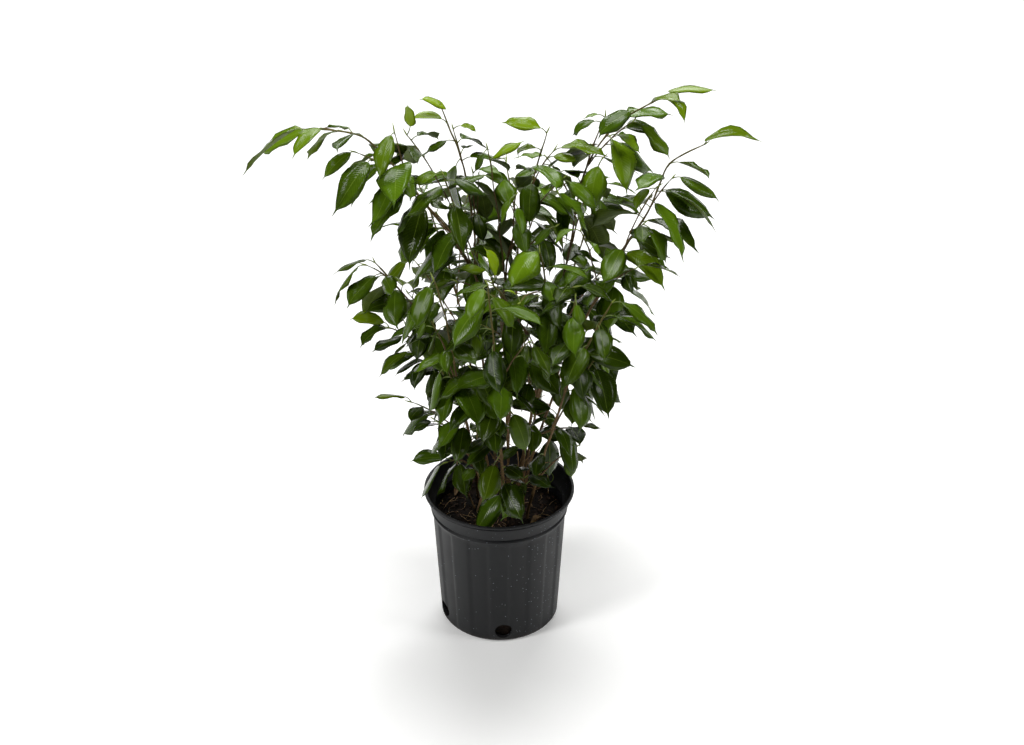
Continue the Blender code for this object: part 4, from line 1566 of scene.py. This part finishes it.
class Surroundings:
    """What already stands in the plant's space, for keeping leaves clear of it."""

    def __init__(self) -> None:
        """Starts with nothing."""
        self.taken: list[Space] = []

    def add_shape(self, points: list[Vector], faces: list[tuple[int, ...]]) -> None:
        """Takes up the space of a shape.

        Args:
            points: its points.
            faces: its faces, by the numbers of their points.
        """
        middle = sum(points, Vector()) / len(points)
        reach = max((p - middle).length for p in points)
        self.taken.append((BVHTree.FromPolygons(points, triangles(faces)), middle, reach))

    def take(self, room: Space) -> bool:
        """Takes up a leaf's space if it crosses nothing.

        Args:
            room: the leaf's space.

        Returns:
            Whether it was clear.
        """
        tree, middle, reach = room
        for other, other_middle, other_reach in self.taken:
            near = (other_middle - middle).length < reach + other_reach
            if near and tree.overlap(other):
                return False
        self.taken.append(room)
        return True


def leaf_heading(point: Vector, way: Vector, rank: int, draw: Random) -> float:
    """Which way a leaf points: in a spiral round upright wood, and to each side in turn of level wood.

    Args:
        point: where it grows.
        way: which way the wood runs there.
        rank: the leaf's number from the wood's tip.
        draw: the random draws.

    Returns:
        Its heading.
    """
    if math.hypot(way.x, way.y) < RULE.level_wood:
        outwards = math.atan2(point.y, point.x)
        spiral = math.radians((rank * RULE.spiral_deg + draw.uniform(*RULE.stray_deg)) % 360 - 180)
        return outwards + RULE.spiral_share * spiral
    side = 1 if rank % 2 else -1
    return math.atan2(way.y, way.x) + side * draw_angle(draw, RULE.side_deg)


def fit_leaf(
    wood: Wood, distance: float, angles: Place, length: float, bend: float, rank: int, surroundings: Surroundings
) -> list[LeafPlace]:
    """Turns a leaf until it is clear of what stands round it.

    Args:
        wood: what it grows on.
        distance: how far along the wood.
        angles: its heading, pitch and roll.
        length: its blade's length.
        bend: how far its blade arches.
        rank: its number from the wood's tip.
        surroundings: what stands round it.

    Returns:
        A list of its one place, or an empty one if it can't be clear.
    """
    for turns in RULE.turns_deg:
        turned_angles = [angle + math.radians(turn) for angle, turn in zip(angles, turns)]
        leaf = LeafPlace(wood, distance, turned_angles, length, bend, rank)
        if surroundings.take(leaf.room()):
            return [leaf]
    return []


def pose_leaves(wood: Wood, surroundings: Surroundings, draw: Random) -> list[LeafPlace]:
    """The outermost leaves of a stem or twig that reach for places of their own, from its tip down.

    Args:
        wood: what they grow on.
        surroundings: what stands round it.
        draw: the stem's own random draws, in the solids' order.

    Returns:
        The leaves' places.
    """
    found = []
    for rank, place in enumerate(wood.reaches):
        if place is None:
            continue
        distance = wood.length - rank * RULE.internode
        root, _ = wood.place_at(distance - RULE.root_sink)
        reach = place - root
        bend = draw_angle(draw, RULE.bend_deg)
        roll = draw_angle(draw, RULE.roll_deg)
        pitch = math.asin(reach.z / reach.length) + bend / 2
        angles = math.atan2(reach.y, reach.x), pitch, roll
        length = (reach.length - RULE.petiole) * (bend / 2) / math.sin(bend / 2)
        found += fit_leaf(wood, distance, angles, length, bend, rank, surroundings)
    return found


def grow_leaves(wood: Wood, surroundings: Surroundings, draw: Random) -> list[LeafPlace]:
    """The other leaves of a stem or twig, from its posed ones down.

    Args:
        wood: what they grow on.
        surroundings: what stands round it.
        draw: the stem's own random draws, in the solids' order.

    Returns:
        The leaves' places.
    """
    found = []
    for rank in range(len(wood.reaches), wood.leaves):
        distance = wood.length - rank * RULE.internode * draw.uniform(*RULE.spacing_share)
        root, way = wood.place_at(distance - RULE.root_sink)
        heading = leaf_heading(root, way, rank, draw)
        pitch = draw_angle(draw, RULE.pitch_deg)
        roll = draw_angle(draw, RULE.roll_deg)
        length = wood.leaf_length * draw.uniform(*RULE.length_share)
        bend = draw_angle(draw, RULE.bend_deg)
        if rank == 0:
            heading = math.atan2(way.y, way.x) + draw_angle(draw, RULE.stray_deg)
            length *= RULE.end_leaf_share
        found += fit_leaf(wood, distance, (heading, pitch, roll), length, bend, rank, surroundings)
    return found


def fill_leaves(wood: Wood, surroundings: Surroundings, draw: Random) -> list[LeafPlace]:
    """Small leaves between the others, too many for the solids, that close the crown.

    Args:
        wood: what they grow on.
        surroundings: what stands round it.
        draw: the random draws for such leaves.

    Returns:
        The leaves' places.
    """
    found = []
    for rank in range(int(FILLER.count_share * wood.length / RULE.internode)):
        distance = wood.length - (rank + draw.uniform(*FILLER.offset)) * RULE.internode
        root, way = wood.place_at(distance - RULE.root_sink)
        angles = (
            leaf_heading(root, way, rank, draw),
            draw_angle(draw, FILLER.pitch_deg),
            draw_angle(draw, RULE.roll_deg),
        )
        length = wood.leaf_length * draw.uniform(*FILLER.length_share)
        bend = draw_angle(draw, RULE.bend_deg)
        is_wanted = draw.random() < (FILLER.odds if root.z < FILLER.high_from else FILLER.high_odds)
        if is_wanted and root.z > FILLER.lowest:
            found += fit_leaf(wood, distance, angles, length, bend, rank + 1, surroundings)
    return found


# Leaves and wood as they show


@dataclass(frozen=True)
class LeafSpot:
    """A place in the crown, in millimetres, whose leaves the photograph shows with a look of their own."""

    place: Place
    reach: float
    strength: float

    def holds(self, leaf: LeafPlace) -> bool:
        """Whether a leaf's middle lies in it."""
        return (leaf.rib(0.5)[0] / MM - Vector(self.place)).length < self.reach


@dataclass(frozen=True)
class ShapeSpot(LeafSpot):
    """A spot whose leaves have a breadth of their own for their strength, and may turn or start nearer the wood."""

    turn_deg: float = 0
    start: float = 0


SHAPE_SPOTS = (
    ShapeSpot((28, -76, 460), 14, 1.5, turn_deg=-28, start=-0.15),
    ShapeSpot((-67, 42, 587), 12, 1.7, start=-0.8),
    ShapeSpot((-95, 28, 581), 14, 1.45),
    ShapeSpot((-155, -52, 545), 55, 0.76),
    ShapeSpot((235, -2, 562), 16, 0.7, start=-0.12),
    ShapeSpot((194, 21, 606), 16, 1.2, start=-0.2),
)

# Where leaves are young and lime green
LIME_SPOTS = (
    LeafSpot((-67, 42, 587), 24, 1.0),
    LeafSpot((-95, 28, 581), 18, 1.0),
    LeafSpot((-67, 36, 568), 18, 0.9),
    LeafSpot((-34, 30, 567), 24, 0.55),
    LeafSpot((22, 0, 576), 30, 0.6),
    LeafSpot((-12, -102, 482), 16, 1.0),
    LeafSpot((11, -128, 456), 16, 0.9),
    LeafSpot((26, -76, 460), 20, 0.14),
    LeafSpot((-29, -60, 452), 26, 0.35),
    LeafSpot((-129, -58, 397), 24, 0.65),
    LeafSpot((-117, -34, 275), 26, 0.6),
    LeafSpot((-87, 0, 421), 20, 0.7),
    LeafSpot((160, -44, 441), 22, 0.35),
    LeafSpot((84, 20, 548), 26, 0.35),
    LeafSpot((126, 22, 549), 24, 0.3),
    LeafSpot((-188, -30, 577), 34, 0.3),
    LeafSpot((193, 21, 606), 18, 0.6),
    LeafSpot((173, 5, 604), 15, 0.45),
    LeafSpot((235, -2, 562), 22, 0.35),
)

# Where leaves are a lighter green: partly their own paler green, partly painted light where they catch the light
PALE_AND_PAINTED_LIGHT_SPOTS = (
    LeafSpot((28, -76, 460), 16, 1.0),
    LeafSpot((-205, -45, 562), 40, 0.8),
    LeafSpot((-120, -50, 550), 26, 0.6),
    LeafSpot((112, 22, 545), 24, 0.9),
    LeafSpot((60, -10, 530), 22, 0.8),
)


@dataclass(frozen=True)
class BladeHabit:
    """What the blades' forms are drawn from: ranges, and spreads for what goes either way."""

    fold_deg: tuple[float, float, float] = (-4, 50, 12)
    droop: tuple[float, float] = (0.0, 0.4)
    breadth: tuple[float, float] = (0.9, 1.1)
    wave_mm: tuple[float, float] = (0.7, 2.8)
    wave_count: tuple[float, float] = (1.0, 2.3)
    twist_deg: float = 22
    sway_mm: float = 2.4
    tip_curl_mm: float = 3.6


HABIT = BladeHabit()


@dataclass(frozen=True)
class BladeForm:
    """How one blade departs from a plain arch: fold, waves, twist and sway, drawn for it alone."""

    fold: float
    droop: float
    breadth: float
    wave: float
    wave_count: float
    left_phase: float
    right_phase: float
    twist: float
    sway: float
    tip_curl: float

    @staticmethod
    def drawn(draw: Random) -> "BladeForm":
        """Draws a blade's own form.

        Args:
            draw: the random draws.

        Returns:
            The form.
        """
        return BladeForm(
            fold=math.radians(draw.triangular(*HABIT.fold_deg)),
            droop=draw.uniform(*HABIT.droop),
            breadth=draw.uniform(*HABIT.breadth),
            wave=draw.uniform(*HABIT.wave_mm) * MM,
            wave_count=draw.uniform(*HABIT.wave_count),
            left_phase=draw.random(),
            right_phase=draw.random(),
            twist=math.radians(draw.gauss(0, HABIT.twist_deg)),
            sway=draw.gauss(0, HABIT.sway_mm) * MM,
            tip_curl=draw.gauss(0, HABIT.tip_curl_mm) * MM,
        )


class BladeBlank:
    """The closed blank that every blade is bent from: an upper and an under skin that meet at the margin."""

    rows: tuple[float, ...] = (0.0, 0.018, 0.07, 0.16, 0.28, 0.42, 0.56, 0.68, 0.78, 0.87, 1.0)
    columns: int = 4
    thickness: float = 0.3 * MM
    rib_height: float = 0.5 * MM
    body_end: float = 0.86
    body_lean: float = 0.95
    body_fullness: float = 0.6
    tip_width: float = 0.15
    tip_swell: tuple[float, float] = (0.45, 0.8)
    tip_taper: float = 0.22
    blend: float = 2.2
    least_width: float = 0.05

    @classmethod
    def width_at(cls, share: float) -> float:
        """The blade's half width: an oval body that draws out into a narrow drip tip.

        Args:
            share: the share of its length.

        Returns:
            The share of its widest half width.
        """
        body = 0
        if 0 < share < cls.body_end:
            body = math.sin(math.pi * (share / cls.body_end) ** cls.body_lean) ** cls.body_fullness
        tip = cls.tip_width * smoothstep(*cls.tip_swell, share) * min(1, (1 - share) / cls.tip_taper)
        return max((body**cls.blend + tip**cls.blend) ** (1 / cls.blend), cls.least_width * (1 - share))

    def cut(self, form: BMesh) -> list:
        """Cuts a blank: x is the share of the length, y that of the half width, z 1 above and -1 below.

        Args:
            form: the bmesh that it joins.

        Returns:
            Its vertices, edges and faces.
        """
        spans = len(self.rows) - 1
        others = set(form.verts)
        upper = bmesh.ops.create_grid(form, x_segments=spans, y_segments=self.columns, size=0.5)["verts"]
        across = form.loops.layers.uv.verify()
        for vert in upper:
            vert.co.x = self.rows[round((vert.co.x + 0.5) * spans)]
            vert.co.y *= 2
        skins = list({face for vert in upper for face in vert.link_faces})
        for face in skins:
            for loop in face.loops:
                loop[across].uv = (loop.vert.co.x, 0.5 + 0.5 * loop.vert.co.y)
        copied = bmesh.ops.duplicate(form, geom=[*upper, *skins, *{e for v in upper for e in v.link_edges}])["geom"]
        under = vertices_in(copied)
        backs = [item for item in copied if isinstance(item, BMFace)]
        bmesh.ops.reverse_faces(form, faces=backs)
        for face in backs:
            face.material_index = 1
        for height, verts in ((1, upper), (-1, under)):
            for vert in verts:
                inner = 0 < vert.co.x < 1 and abs(vert.co.y) < 0.99
                vert.co.z = height if inner else 0
        bmesh.ops.remove_doubles(form, verts=upper + under, dist=1e-4)
        tip = [vert for vert in form.verts if vert not in others and vert.co.x == 1]
        bmesh.ops.pointmerge(form, verts=tip, merge_co=(1, 0, 0))
        own = [vert for vert in form.verts if vert not in others]
        edges = {edge: None for vert in own for edge in vert.link_edges}
        faces = {face: None for vert in own for face in vert.link_faces}
        return [*own, *edges, *faces]


class FineLeaf:
    """One leaf as it shows: its stalk and its bent, folded and waved blade."""

    open_below: float = 220 * MM
    folded_above: float = 440 * MM
    full_wave_width: float = 14 * MM
    ruffle: float = 0.1
    ruffles: float = 1.3
    broadening: tuple[float, float] = (1.06, 0.08)
    flat_openness: float = 1.5
    unfolding: float = 0.6
    untwisting: float = 0.5
    wave_start: tuple[float, float] = (0.0, 0.2)
    wave_end: tuple[float, float] = (0.75, 0.95)
    wave_grade: float = 1.6
    curl_span: tuple[float, float] = (0.7, 1.0)
    curl_grade: float = 1.5

    def __init__(self, place: LeafPlace, blade: BladeForm) -> None:
        """Fits a blade's form to its place.

        Args:
            place: where the leaf stands.
            blade: the blade's own form.
        """
        self.place = place
        self.blade = blade
        # Low leaves hang open and broad, and those of the top and the arms are narrow and folded
        openness = 1 - smoothstep(self.open_below, self.folded_above, place.rib(0.5)[0].z)
        least, more = self.broadening
        self.breadth = blade.breadth * (least + more * openness)
        self.start = 0.0
        self.turn = 0.0
        for spot in SHAPE_SPOTS:
            if spot.holds(place):
                self.breadth = spot.strength
                self.start = spot.start
                self.turn = math.radians(spot.turn_deg)
                openness = self.flat_openness if spot.strength > 1 else 0
        self.wave = blade.wave * min(place.half_width / self.full_wave_width, 1)
        self.fold = blade.fold * (1 - self.unfolding * openness)
        self.twist = blade.twist * (1 - self.untwisting * openness)

    def point(self, share: float, across: float, face: float) -> Vector:
        """A point of the blade.

        Args:
            share: the share of its length.
            across: the share of its half width, from -1 to 1.
            face: 1 on its upper face, -1 on its under face and 0 at its margin.

        Returns:
            Where it lies.
        """
        blade, place = self.blade, self.place
        half = place.half_width * self.breadth * BladeBlank.width_at(share)
        rib, normal = place.rib(self.start + (1 - self.start) * share)
        twist = self.turn + self.twist * share
        side = place.side * math.cos(twist) + normal * math.sin(twist)
        up = normal * math.cos(twist) - place.side * math.sin(twist)
        phase = blade.left_phase if across < 0 else blade.right_phase
        swing = math.sin(FULL_TURN * (blade.wave_count * share + phase))
        swing *= smoothstep(*self.wave_start, share) * (1 - smoothstep(*self.wave_end, share))
        wave = self.wave * abs(across) ** self.wave_grade * swing
        half *= 1 + self.ruffle * math.sin(FULL_TURN * (self.ruffles * share + 2 * phase)) * abs(across)
        lift = half * (abs(across) * math.sin(self.fold) - across * across * blade.droop) + wave
        curl = blade.tip_curl * smoothstep(*self.curl_span, share) ** self.curl_grade
        sway = place.side * (blade.sway * share * share + curl)
        skin = BladeBlank.thickness * face / 2
        if face < 0 and abs(across) < 0.1:
            skin -= BladeBlank.rib_height * (1 - share)
        return rib + sway + side * (across * half * math.cos(self.fold)) + up * (lift + skin)

    def bend_blank(self, verts: list[BMVert]) -> None:
        """Bends a blank's vertices into the blade."""
        for vert in verts:
            vert.co = self.point(*vert.co)

    def stalk_line(self) -> list[Vector]:
        """The stalk, from the middle of the wood up and over into the blade's base.

        Returns:
            Its points.
        """
        start = self.place.wood.smooth_at(self.place.distance - RULE.root_sink)
        end, _ = self.place.rib(self.start + 0.03)
        knee = self.place.base - self.place.along * 0.35 * RULE.petiole + self.place.normal * 0.1 * RULE.petiole
        return [on_arch(start, knee, end, t) for t in (0, 0.3, 0.6, 0.85, 1)]


@dataclass
class LeafyStem:
    """One node of the plant: its wood, its leaves and its buds."""

    name: str
    number: int
    woods: list[Wood]
    places: list[LeafPlace] = field(default_factory=list)
    stem_sides: int = 10
    twig_sides: int = 7
    station: float = 5 * MM
    stem_slimness: float = 0.58
    twig_slimness: float = 0.62
    knot: float = 0.3
    knot_length: float = 2.2 * MM
    unevenness: float = 0.34
    dead_twigs: int = 5
    dead_twig_radii: tuple[float, ...] = (0.65 * MM, 0.5 * MM, 0.42 * MM, 0.25 * MM)
    petiole_radii: tuple[float, ...] = (0.675 * MM, 0.55 * MM, 0.5 * MM, 0.475 * MM, 0.3 * MM)
    stalk_sides: int = 5
    dead_twig_reach: float = 0.45
    dead_twig_rise: tuple[float, float] = (0.3, 1.6)
    dead_twig_sag_mm: tuple[float, float] = (0.5, 3)
    dead_twig_length_mm: tuple[float, float] = (8, 30)
    unevenness_per_m: float = 110
    flare: float = 0.3
    flare_length: float = 5 * MM
    end_taper: float = 0.45
    end_length: float = 12 * MM
    knot_limit: float = 1.3
    young_lime: tuple[float, float] = (0.2, 0.06)
    bud_lean: float = 0.2
    bud_rise: tuple[float, float] = (-0.1, 0.4)
    bud_shares: tuple[float, float] = (0.7, 1.3)
    bud_length: float = 8 * MM
    bud_radii: tuple[float, ...] = (0.6 * MM, 0.75 * MM, 0.8 * MM, 0.5 * MM, 0.08 * MM)
    low_tone: float = 0.09
    tone_spread: float = 0.24
    # Painted light: a leaf's tone rises with its height, lighter at the lit top of the crown and darker in the shade
    # below it
    painted_light_rise: float = 0.46
    painted_light_heights: tuple[float, float] = (240 * MM, 600 * MM)

    @property
    def node(self) -> str:
        """The CAD node that it stands for."""
        return f"leafy_stem_{self.name}"

    def build(self) -> list[Object]:
        """Builds the wood and the foliage."""
        return [self.build_wood(), self.build_foliage()]

    def build_wood(self) -> Object:
        """Round, tapering, slightly knotty wood, greener towards the twigs' tips.

        Returns:
            The piece.
        """
        form = bmesh.new()
        youth = form.verts.layers.float.new("youth")
        for order, wood in enumerate(self.woods):
            steps = max(round(wood.length / self.station), 4)
            marks = [wood.length * k / steps for k in range(steps + 1)]
            roots = [place.distance for place in self.places if place.wood is wood]
            radii = [self.thickness(wood, mark, roots, order > 0) for mark in marks]
            sides = self.twig_sides if order else self.stem_sides
            rings = sweep(form, [wood.smooth_at(mark) for mark in marks], radii, sides)
            for mark, ring in zip(marks, rings):
                paint(ring, youth, smoothstep(0.6, 1.0, mark / wood.length) * (0.8 if order else 0.5))
        self.add_dead_twigs(form)
        return finished_piece(form, f"wood_{self.name}", [BARK, DRY_LITTER], [self.node])

    def add_dead_twigs(self, form: BMesh) -> None:
        """Short bare twigs, long dead, on the leafless part of the stem.

        Args:
            form: the wood.
        """
        draw = Random(500 + self.number)
        stem = self.woods[0]
        for _ in range(self.dead_twigs):
            mark = draw.uniform(RULE.foot_depth + 16 * MM, self.dead_twig_reach * stem.length)
            start = stem.smooth_at(mark)
            turn = draw.uniform(0, FULL_TURN)
            way = Vector((math.cos(turn), math.sin(turn), draw.uniform(*self.dead_twig_rise))).normalized()
            sag = Vector((draw.uniform(-1, 1), draw.uniform(-1, 1), -1))
            sag = sag * draw.uniform(*self.dead_twig_sag_mm) * MM
            length = draw.uniform(*self.dead_twig_length_mm) * MM
            line = [start + way * length * t + sag * t * t for t in (0, 0.35, 0.7, 1)]
            sweep(form, line, self.dead_twig_radii, self.stalk_sides, finish=draw.randint(0, 1))

    def thickness(self, wood: Wood, mark: float, roots: list[float], is_twig: bool) -> float:
        """The wood's radius: slimmer than the solid, with a knot at each leaf and a flare at a twig's root.

        Args:
            wood: the stem or twig.
            mark: how far along it.
            roots: how far along it each of its leaves grows.
            is_twig: whether it is a twig.

        Returns:
            The radius.
        """
        slim = self.twig_slimness if is_twig else self.stem_slimness
        knots = sum(math.exp(-(((mark - root) / self.knot_length) ** 2)) for root in roots)
        uneven = self.unevenness * noise(Vector((mark, wood.length, wood.line[0].x)) * self.unevenness_per_m)
        flare = self.flare * math.exp(-mark / self.flare_length) if is_twig else 0
        end = self.end_taper * smoothstep(wood.length - self.end_length, wood.length, mark)
        swelling = self.knot * min(knots, self.knot_limit)
        return wood.radius_at(mark) * slim * (1 + swelling + uneven + flare - end)

    def build_foliage(self) -> Object:
        """The leaves with their stalks, and a bud at each tip.

        Returns:
            The piece.
        """
        draw = Random(1000 + self.number)
        form = bmesh.new()
        tone = form.verts.layers.float.new("tone")
        lime = form.verts.layers.float.new("lime")
        form.loops.layers.uv.new("blade")
        blank = BladeBlank().cut(form)
        for place in self.places:
            leaf = FineLeaf(place, BladeForm.drawn(draw))
            copied = bmesh.ops.duplicate(form, geom=blank)["geom"]
            verts = vertices_in(copied)
            leaf.bend_blank(verts)
            # Painted light: over each leaf's own random tone, the tone rises with its height in the crown
            rise = self.painted_light_rise * smoothstep(*self.painted_light_heights, place.rib(0.5)[0].z)
            shade = min(max(draw.gauss(self.low_tone, self.tone_spread) + rise, 0), 1)
            # Leaves in these spots get a light tone: partly their own paler green, partly painted light
            shade = max([shade, *(spot.strength for spot in PALE_AND_PAINTED_LIGHT_SPOTS if spot.holds(place))])
            paint(verts, tone, shade)
            paint(verts, lime, self.youth_of(place, draw))
            sweep(form, leaf.stalk_line(), self.petiole_radii, self.stalk_sides, finish=2)
        for wood in self.woods:
            self.add_bud(form, wood, draw)
        bmesh.ops.delete(form, geom=vertices_in(blank))
        finishes = [LEAF_FACE, LEAF_BACK, LEAF_STALK, BUD_SCALE]
        return finished_piece(form, f"foliage_{self.name}", finishes, [self.node])

    def youth_of(self, place: LeafPlace, draw: Random) -> float:
        """How lime a leaf is: a little at each tip, and most at the spots that the photograph shows.

        Args:
            place: where the leaf stands.
            draw: the random draws.

        Returns:
            The share of lime.
        """
        outermost, other = self.young_lime
        young = draw.uniform(0.0, outermost if place.rank == 0 else other)
        return max([young, *(spot.strength for spot in LIME_SPOTS if spot.holds(place))])

    def add_bud(self, form: BMesh, wood: Wood, draw: Random) -> None:
        """A slender pointed bud, on past the wood's tip.

        Args:
            form: the foliage.
            wood: the wood that it ends.
            draw: the stem's random draws.
        """
        tip = wood.smooth_at(wood.length)
        way = (tip - wood.smooth_at(wood.length - 8 * MM)).normalized()
        aside = draw.gauss(0, self.bud_lean), draw.gauss(0, self.bud_lean)
        lean = (way + Vector((*aside, draw.uniform(*self.bud_rise)))).normalized()
        length = self.bud_length * draw.uniform(*self.bud_shares)
        line = [tip - way * 1.5 * MM, tip, *(tip + lean * length * share for share in (0.3, 0.65, 1.0))]
        sweep(form, line, self.bud_radii, self.stalk_sides, finish=3)


class Crown:
    """The whole plant: grows every stem by the solids' rule, in the solids' order, and builds what shows."""

    def __init__(self, solids: dict[str, Object]) -> None:
        """Grows the wood, the posed leaves, the other leaves and the small ones between them.

        Args:
            solids: the CAD nodes by name, of which leaves keep clear of the pot and the mix.
        """
        surroundings = Surroundings()
        for mesh in (solids[node].data for node in ("pot", "potting_mix")):
            corners = [vert.co.copy() for vert in mesh.vertices]
            surroundings.add_shape(corners, [tuple(face.vertices) for face in mesh.polygons])
        woods = {name: grow_wood(plan) for name, plan in STEMS.items()}
        for stem in woods.values():
            for wood in stem:
                surroundings.add_shape(*wood.skin())
        draws = [Random(number + 1) for number in range(len(woods))]
        posed = []
        for stem, draw in zip(woods.values(), draws):
            posed.append([place for wood in stem for place in pose_leaves(wood, surroundings, draw)])
        self.stems: list[LeafyStem] = []
        for number, (name, stem) in enumerate(woods.items()):
            grown = [place for wood in stem for place in grow_leaves(wood, surroundings, draws[number])]
            self.stems.append(LeafyStem(name, number, stem, posed[number] + grown))
        draw = Random(FILLER.seed)
        for stem in self.stems:
            for wood in stem.woods:
                stem.places.extend(fill_leaves(wood, surroundings, draw))
        log.info("%d leaves", sum(len(stem.places) for stem in self.stems))

    def build(self) -> list[Object]:
        """Builds every stem's pieces."""
        return [piece for stem in self.stems for piece in stem.build()]


# Studio


@dataclass(frozen=True)
class Softbox:
    """A soft rectangular studio light."""

    name: str
    place: Place
    aim: Place
    width: float
    height: float
    power: float
    colour: str = "#ffffff"

    def build(self) -> None:
        """Hangs the light."""
        lamp = bpy.data.lights.new(self.name, "AREA")
        lamp.shape = "RECTANGLE"
        lamp.size = self.width
        lamp.size_y = self.height
        lamp.energy = self.power
        lamp.color = linear(self.colour)[:3]
        light = placed(self.name, lamp)
        light.location = self.place
        way = Vector(self.aim) - Vector(self.place)
        light.rotation_euler = way.to_track_quat("-Z", "Y").to_euler()


@dataclass
class Studio:
    """The camera at the photograph's angle, the pale floor, the soft lights and the even surroundings."""

    camera_place: Place = (0.0141, -1.4225, 1.0959)
    camera_pitch_deg: float = 29.007
    lens_mm: float = 54.19
    sensor_mm: float = 36.0
    floor_size: float = 60.0
    surround_colour: str = "#ffffff"
    surround_strength: float = 0.04
    lights: tuple[Softbox, ...] = (
        Softbox("left_softbox", (-1.7, -1.1, 1.8), (0, 0, 0.35), 0.6, 0.8, 29),
        Softbox("right_softbox", (1.8, -0.6, 1.5), (0, 0, 0.35), 0.6, 0.7, 14),
        Softbox("overhead_softbox", (0.1, 0.2, 2.3), (0, 0, 0.4), 0.9, 0.7, 29),
        Softbox("back_softbox", (0.2, 2.2, 2.1), (0, 0, 0.4), 2.0, 1.0, 17),
        Softbox("floor_softbox", (0.0, 3.6, 2.4), (0.0, 3.0, 0.0), 4.0, 1.4, 90),
    )

    def build(self) -> None:
        """Sets up the camera, the floor and the light."""
        scene = bpy.context.scene
        camera = bpy.data.cameras.new("camera")
        camera.sensor_width = self.sensor_mm
        camera.lens = self.lens_mm
        holder = placed("camera", camera)
        holder.location = self.camera_place
        holder.rotation_euler = (math.radians(90 - self.camera_pitch_deg), 0, 0)
        scene.camera = holder
        scene.view_settings.view_transform = "Standard"
        self.build_floor()
        for light in self.lights:
            light.build()
        world = bpy.data.worlds.new("studio_surround")
        world.use_nodes = True
        scene.world = world
        surround = world.node_tree.nodes["Background"]
        surround.inputs["Color"].default_value = linear(self.surround_colour)
        surround.inputs["Strength"].default_value = self.surround_strength

    def build_floor(self) -> None:
        """Lays the floor, which is no part of the object."""
        form = bmesh.new()
        bmesh.ops.create_grid(form, x_segments=4, y_segments=4, size=self.floor_size / 2)
        mesh = mesh_of(form, "floor")
        mesh.materials.append(FLOOR_PAINT.material())
        floor = placed("floor", mesh)


def main() -> None:
    """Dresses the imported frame."""
    logging.basicConfig(level=logging.INFO, format="%(name)s: %(message)s")
    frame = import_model()
    Studio().build()
    pot = NurseryPot()
    pieces = [pot.build(), *PottingMix(pot).build(), *Crown(frame["nodes"]).build()]
    log.info("%d pieces", len(pieces))


if __name__ == "__main__":
    main()
